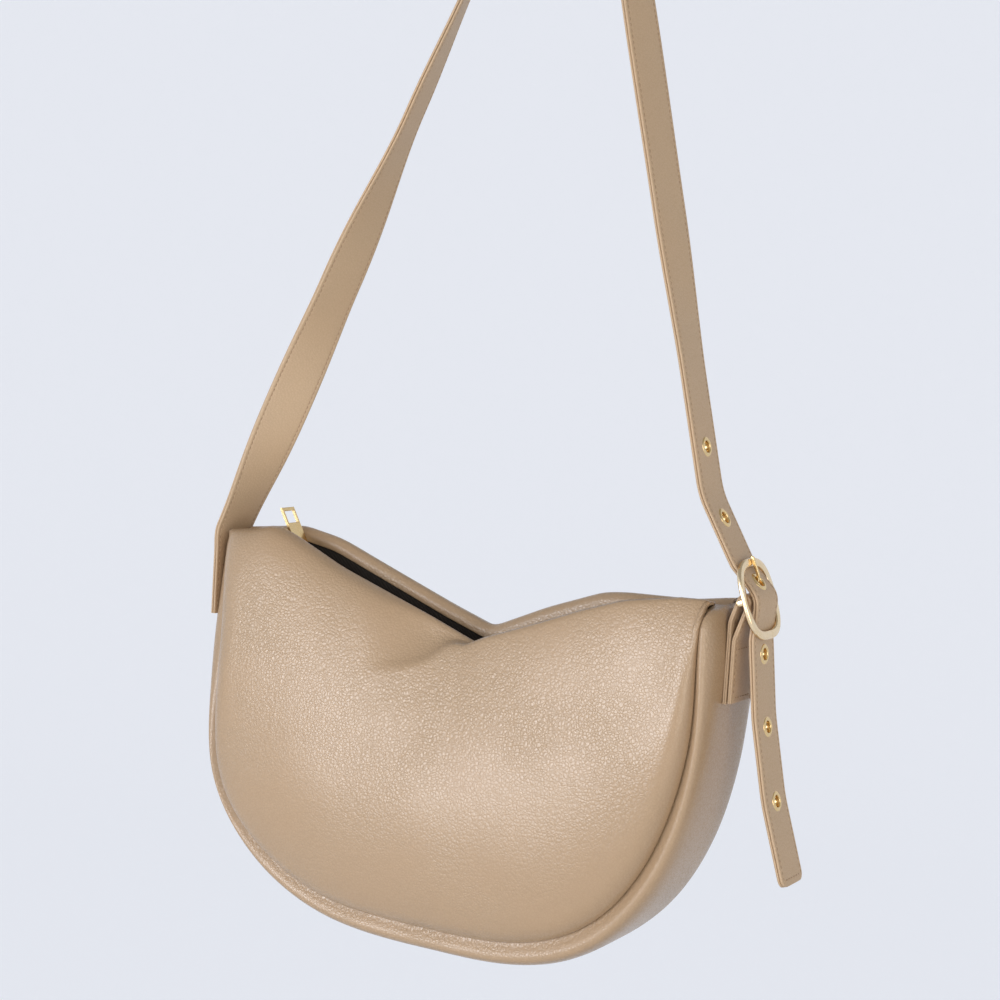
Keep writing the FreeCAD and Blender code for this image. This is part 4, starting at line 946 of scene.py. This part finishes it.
# Rolled eyelets, three down to the buckle's prong and three on the loose end
eyelet = {
    "hole": 3.7, "holeReach": 4, "holeSides": 32, "sides": 44,
    # radius and height round the ring: bore, rolled front, barrel, back
    "profile": ((3.25, -1.9), (3.25, 1.8), (3.4, 2.1), (3.9, 2.3), (4.6, 2.28), (5.2, 2.05), (5.6, 1.7),
                (5.75, 1.4), (5.6, 1.2), (3.75, 1.1), (3.75, -1.1), (4.8, -1.2),
                (5.0, -1.45), (4.8, -1.75), (4.2, -2.05), (3.6, -2.1)),
}
eyelets = []
for i in range(1, 7):
    low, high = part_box("eyelet_%d" % i)
    spot = [(low[k] + high[k]) / 2 / mm for k in (0, 2)]
    away = np.hypot(strapSpots[:, 0] - spot[0] + bag["midX"], strapSpots[:, 1] - spot[1] + bag["midZ"])
    eyelets.append(strapFrame(strapWalk[int(np.argmin(away))]))


def aroundEyelet(holder, angle, radius, height):
    middle, across, facing = holder
    ahead = across.cross(facing)
    return middle + (across * math.cos(angle) + ahead * math.sin(angle)) * radius + facing * height


def bendWithTail(piece):
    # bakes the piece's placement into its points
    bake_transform(piece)


holes = []
for holder in eyelets:
    turns = roundTurns(eyelet["holeSides"])
    holes.append(skinShell([[aroundEyelet(holder, angle, eyelet["hole"], height) for angle in turns]
                            for height in (-eyelet["holeReach"], eyelet["holeReach"])]))
for sign, label in ((1, "Outer"), (-1, "Inner")):
    sections = []
    for length in stations:
        middle, across, facing = strapFrame(length)
        half = strapHalf(length)
        sections.append([middle + across * (u * half) + facing * (sign * layerHeight(h))
                         for u, h in layerOutline])
    layer = shellPiece("strap" + label, [skinShell(sections)], strapLeather, "strap_leather", 60)
    cutOut(layer, holes)
    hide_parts("strap_" + label.lower(), "strap_tail_" + label.lower())
    bendWithTail(layer)

for i, holder in enumerate(eyelets):
    sections = [[aroundEyelet(holder, angle, radius, height) for radius, height in eyelet["profile"]]
                for angle in roundTurns(eyelet["sides"])]
    ring = shellPiece("eyelet%d" % (i + 1), [skinShell(sections, True)], deepGold, "gold_metal", 60)
    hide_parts("eyelet_%d" % (i + 1))
    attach(ring, "bag" if i < 3 else "strap_tail")
print("strap and eyelets made")

# Stitches: each is a short length of thread that dips into the leather at both ends
stitch = {
    "pitch": 3.3, "length": 2.5, "radius": 0.33, "edgeShare": 0.835, "lift": 0.12, "dip": 0.45,
    "taper": (0.12, 0.88), "bends": 4, "sides": 6,
    "grooveShare": 0.8, "crossShare": 0.97,  # of the layer's thickness, in the groove and across the strap
    "first": 4.5, "last": 4, "endRow": 3.5, "boxRow": 30, "sideGap": 1, "tabFirst": 3,
}


def threadLoop(points, normals):
    # a thread along a few points, thinner at its ends
    sections = []
    last = len(points) - 1
    for i, (point, normal) in enumerate(zip(points, normals)):
        ahead = (points[min(i + 1, last)] - points[max(i - 1, 0)]).normalized()
        aside = ahead.cross(normal).normalized()
        thin = stitch["radius"] * math.sin(math.pi * between(stitch["taper"], i / last)) ** 0.5
        lift = stitch["lift"] - stitch["dip"] * abs(2 * i / last - 1) ** 3
        sections.append([point + normal * (lift + thin * math.sin(a)) + aside * (thin * math.cos(a))
                         for a in roundTurns(stitch["sides"])])
    return skinShell(sections)


def strapStitch(length, across, sign):
    points, normals = [], []
    for s in steps(stitch["bends"], -0.5, 0.5):
        middle, side, facing = strapFrame(length + s * stitch["length"])
        points.append(middle + side * across + facing * (sign * layerHeight(stitch["grooveShare"])))
        normals.append(facing * sign)
    return threadLoop(points, normals)


def crossStitch(length, across, sign):
    middle, side, facing = strapFrame(length)
    lifted = facing * (sign * layerHeight(stitch["crossShare"]))
    points = [middle + side * (across + s * stitch["length"]) + lifted
              for s in steps(stitch["bends"], -0.5, 0.5)]
    return threadLoop(points, [facing * sign] * len(points))


def acrossRow(half):
    # places of the stitches of a row from one edge seam to the other
    row = half * stitch["edgeShare"]
    return np.arange(-row + stitch["pitch"], row - stitch["sideGap"], stitch["pitch"])


shells = []
for length in np.arange(stitch["first"], strapLength - stitch["last"], stitch["pitch"]):
    for sign in (1, -1):
        for side in (1, -1):
            shells.append(strapStitch(length, side * strapHalf(length) * stitch["edgeShare"], sign))
for length in (stitch["endRow"], stitch["boxRow"], strapLength - stitch["endRow"]):
    for across in acrossRow(strap["half"]):
        for sign in (1, -1):
            shells.append(crossStitch(length, across, sign))
seams = shellPiece("strapStitches", shells, thread, "strap_leather", 80)
bendWithTail(seams)
print("strap stitched:", len(shells), "stitches")

# Tab: one strip folded round the bar, with a slot for the eye of the prong
tab = {
    "half": 13.5, "thick": 2.6, "leaf": 172.55, "leafStep": 3.0, "low": -53, "lean": 19, "bend": 12,
    "wrapGap": 0.15, "slotRadius": 4.9, "slotHalf": 2.6, "slotSides": 40,
    "station": 1.0, "spacing": 0.25, "reach": 0.4,
    "grooveShare": 0.42, "crossShare": 0.49,  # heights of the stitches, in thicknesses
}
barSpot = np.array(buckleSpot(-buckle["barInset"], 0))
wrap = buckle["barRadius"] + tab["wrapGap"] + tab["thick"] / 2
lean = math.radians(tab["lean"])
ahead = np.array((math.sin(lean), math.cos(lean))) * wrap
aside = np.array((-ahead[1], ahead[0]))
inner, outer = barSpot + aside, barSpot - aside
upright = math.pi / 2
heading = upright - lean
outerLeaf = tab["leaf"] + tab["leafStep"]
tabSpots, tabWalk, tabBends = bentPath([
    (tab["leaf"], tab["low"]), meet((tab["leaf"], 0), upright, inner, heading), inner + ahead,
    outer + ahead, meet((outerLeaf, 0), upright, outer, heading), (outerLeaf, tab["low"])],
    [tab["bend"], wrap, wrap, tab["bend"]], tab["spacing"])
leafEnd = tabWalk[-1]


def tabPoint(length, across, height):
    # height counts from the middle of the strip, in its thicknesses
    middle, outward = pathFrame(tabSpots, tabWalk, length, tab["reach"])
    return middle + Vector((0, across, 0)) + outward * (tab["thick"] * height)


# two layers, with the groove between them along the edges
tabOutline = layerFace + [(u, -h) for u, h in layerFace[::-1]]
sections = [[tabPoint(length, u * tab["half"], h / 2) for u, h in tabOutline]
            for length in np.arange(0, leafEnd, tab["station"])]
tabPiece = shellPiece("buckleTab", [skinShell(sections)], strapLeather, "strap_leather", 60)
slotRing = [barSpot + tab["slotRadius"] * np.array((math.cos(a), math.sin(a)))
            for a in roundTurns(tab["slotSides"])]
cutOut(tabPiece, [skinShell([[(x, y, z) for x, z in slotRing] for y in (-tab["slotHalf"], tab["slotHalf"])])])
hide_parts("buckle_tab")
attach(tabPiece, "bag")


def tabStitch(length, across, turned):
    points, normals = [], []
    for s in steps(stitch["bends"], -0.5, 0.5):
        shift = s * stitch["length"]
        walked, y = (length, across + shift) if turned else (length + shift, across)
        points.append(tabPoint(walked, y, tab["crossShare"] if turned else tab["grooveShare"]))
        normals.append(pathFrame(tabSpots, tabWalk, walked, tab["reach"])[1])
    return threadLoop(points, normals)


shells = []
for length in np.arange(tabBends[5] + stitch["tabFirst"], leafEnd - stitch["last"], stitch["pitch"]):
    for side in (-1, 1):
        shells.append(tabStitch(length, side * tab["half"] * stitch["edgeShare"], False))
for length in (leafEnd - stitch["endRow"], leafEnd - stitch["boxRow"]):
    for across in acrossRow(tab["half"]):
        shells.append(tabStitch(length, across, True))
seams = shellPiece("tabStitches", shells, thread, "strap_leather", 80)
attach(seams, "bag")
print("tab made")

# Rigid nodes that keep their own shape, with the soft edges that plating gives
plated = {
    "softened": ("zip_slider", "zip_pull", "zip_stop_left", "zip_stop_right"), "round": ("buckle_prong",),
    "edge": 0.3, "segments": 3, "sharp": 40,
}
for name in plated["softened"] + plated["round"]:
    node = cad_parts[name]
    node.data.materials.clear()
    node.data.materials.append(deepGold)
    if name in plated["softened"]:
        edges = node.modifiers.new("edges", "BEVEL")
        edges.width = plated["edge"] * mm
        edges.segments = plated["segments"]
        edges.limit_method = "ANGLE"
        edges.angle_limit = math.radians(plated["sharp"])
print("metal dressed")

# Camera at the photograph's place
photoView = {
    "yaw": 30.01, "elevation": 5.53, "roll": 3.51, "aside": 18.6, "over": 39.0, "away": 1220,
    "lens": 75.6, "sensor": 36, "farthest": 50,
}
yaw, tilt, roll = (math.radians(photoView[key]) for key in ("yaw", "elevation", "roll"))
back = Vector((math.sin(yaw) * math.cos(tilt), -math.cos(yaw) * math.cos(tilt), math.sin(tilt)))
right = Vector((math.cos(yaw), math.sin(yaw), 0))
up = back.cross(right)
axisX = math.cos(roll) * right + math.sin(roll) * up
axisY = math.cos(roll) * up - math.sin(roll) * right
camera = bpy.data.objects.new("photoCamera", bpy.data.cameras.new("photoCamera"))
scene.collection.objects.link(camera)
spot = axisX * photoView["aside"] + axisY * photoView["over"] + back * photoView["away"]
camera.matrix_world = Matrix.Translation(toFrame(spot)) @ Matrix((axisX, axisY, back)).transposed().to_4x4()
camera.data.lens = photoView["lens"]
camera.data.sensor_width = photoView["sensor"]
camera.data.clip_end = photoView["farthest"]
scene.camera = camera

# Pale studio: a floor that sweeps up into a round wall, open to soft light above
studio = {  # metres
    "floor": -1.15, "flatRadius": 2.2, "cove": 0.9, "wall": 2.6, "around": 96,
    "floorSteps": 6, "coveSteps": 12, "wallSteps": 4,
    "colour": "#eeeeec", "seenColour": "#eef2fc", "glow": 0.8, "rough": 0.9,
}
profile = [(studio["flatRadius"] * s, 0) for s in steps(studio["floorSteps"])[1:]]
profile += [(studio["flatRadius"] + studio["cove"] * math.sin(a), studio["cove"] * (1 - math.cos(a)))
            for a in steps(studio["coveSteps"], 0, math.pi / 2)[1:]]
profile += [(studio["flatRadius"] + studio["cove"], between((studio["cove"], studio["wall"]), s))
            for s in steps(studio["wallSteps"])[1:]]
around = studio["around"]
points = [(radius * math.cos(angle), radius * math.sin(angle), studio["floor"] + height)
          for radius, height in profile for angle in roundTurns(around)]
faces = [tuple(range(around))]
for r in range(len(profile) - 1):
    for i in range(around):
        j = (i + 1) % around
        faces.append((r * around + i, r * around + j, (r + 1) * around + j, (r + 1) * around + i))
sweepMesh = bpy.data.meshes.new("studioSweep")
sweepMesh.from_pydata(points, [], faces)
sweepMesh.polygons.foreach_set("use_smooth", [True] * len(sweepMesh.polygons))
sweep = bpy.data.objects.new("studioSweep", sweepMesh)
scene.collection.objects.link(sweep)
paper, tree = newMaterial("matt_paper_backdrop")  # seen as even pale paper, with a trace of shade
dressShader(paper, {}, {"Base Color": linear(studio["colour"]), "Roughness": studio["rough"]})
ray = addNode(tree, "ShaderNodeLightPath").outputs
seen = addNode(tree, "ShaderNodeMath", {"operation": "MAXIMUM"},
               {0: ray["Is Camera Ray"], 1: ray["Is Glossy Ray"]})
seen = addNode(tree, "ShaderNodeMath", {"operation": "MAXIMUM"},
               {0: seen.outputs["Value"], 1: ray["Is Transmission Ray"]})
share = addNode(tree, "ShaderNodeMath", {"operation": "MULTIPLY", 1: studio["glow"]},
                {0: seen.outputs["Value"]})
glow = addNode(tree, "ShaderNodeEmission", {"Color": linear(studio["seenColour"]), "Strength": 1.0})
blend = addNode(tree, "ShaderNodeMixShader", None,
                {0: share.outputs["Value"], 1: tree.nodes["Principled BSDF"].outputs["BSDF"],
                 2: glow.outputs["Emission"]})
tree.links.new(blend.outputs["Shader"], tree.nodes["Material Output"].inputs["Surface"])
sweepMesh.materials.append(paper)

lamps = {
    "windowKey": {"from": (-0.75, -2.0, 0.2), "size": 1.1, "watts": 24, "colour": "#fafbff"},
    "softFill": {"from": (1.7, -1.5, 0.3), "size": 1.6, "watts": 18, "colour": "#fff6ea"},
}
softSky = {"colour": "#fbfaf8", "strength": 0.4}
bagMiddle = (0, 0, -90)
target = toFrame(bagMiddle)
for name, lamp in lamps.items():
    light = bpy.data.lights.new(name, "AREA")
    light.shape = "DISK"
    light.size = lamp["size"]
    light.energy = lamp["watts"]
    light.color = linear(lamp["colour"])[:3]
    holder = bpy.data.objects.new(name, light)
    holder.location = target + Vector(lamp["from"])
    holder.rotation_mode = "QUATERNION"
    holder.rotation_quaternion = (target - holder.location).to_track_quat("-Z", "Y")
    scene.collection.objects.link(holder)
world = bpy.data.worlds.new("softSky")
scene.world = world
world.use_nodes = True
sky = world.node_tree.nodes["Background"]
sky.inputs["Color"].default_value = linear(softSky["colour"])
sky.inputs["Strength"].default_value = softSky["strength"]
scene.view_settings.view_transform = "Standard"
print("camera, studio and lamps set")
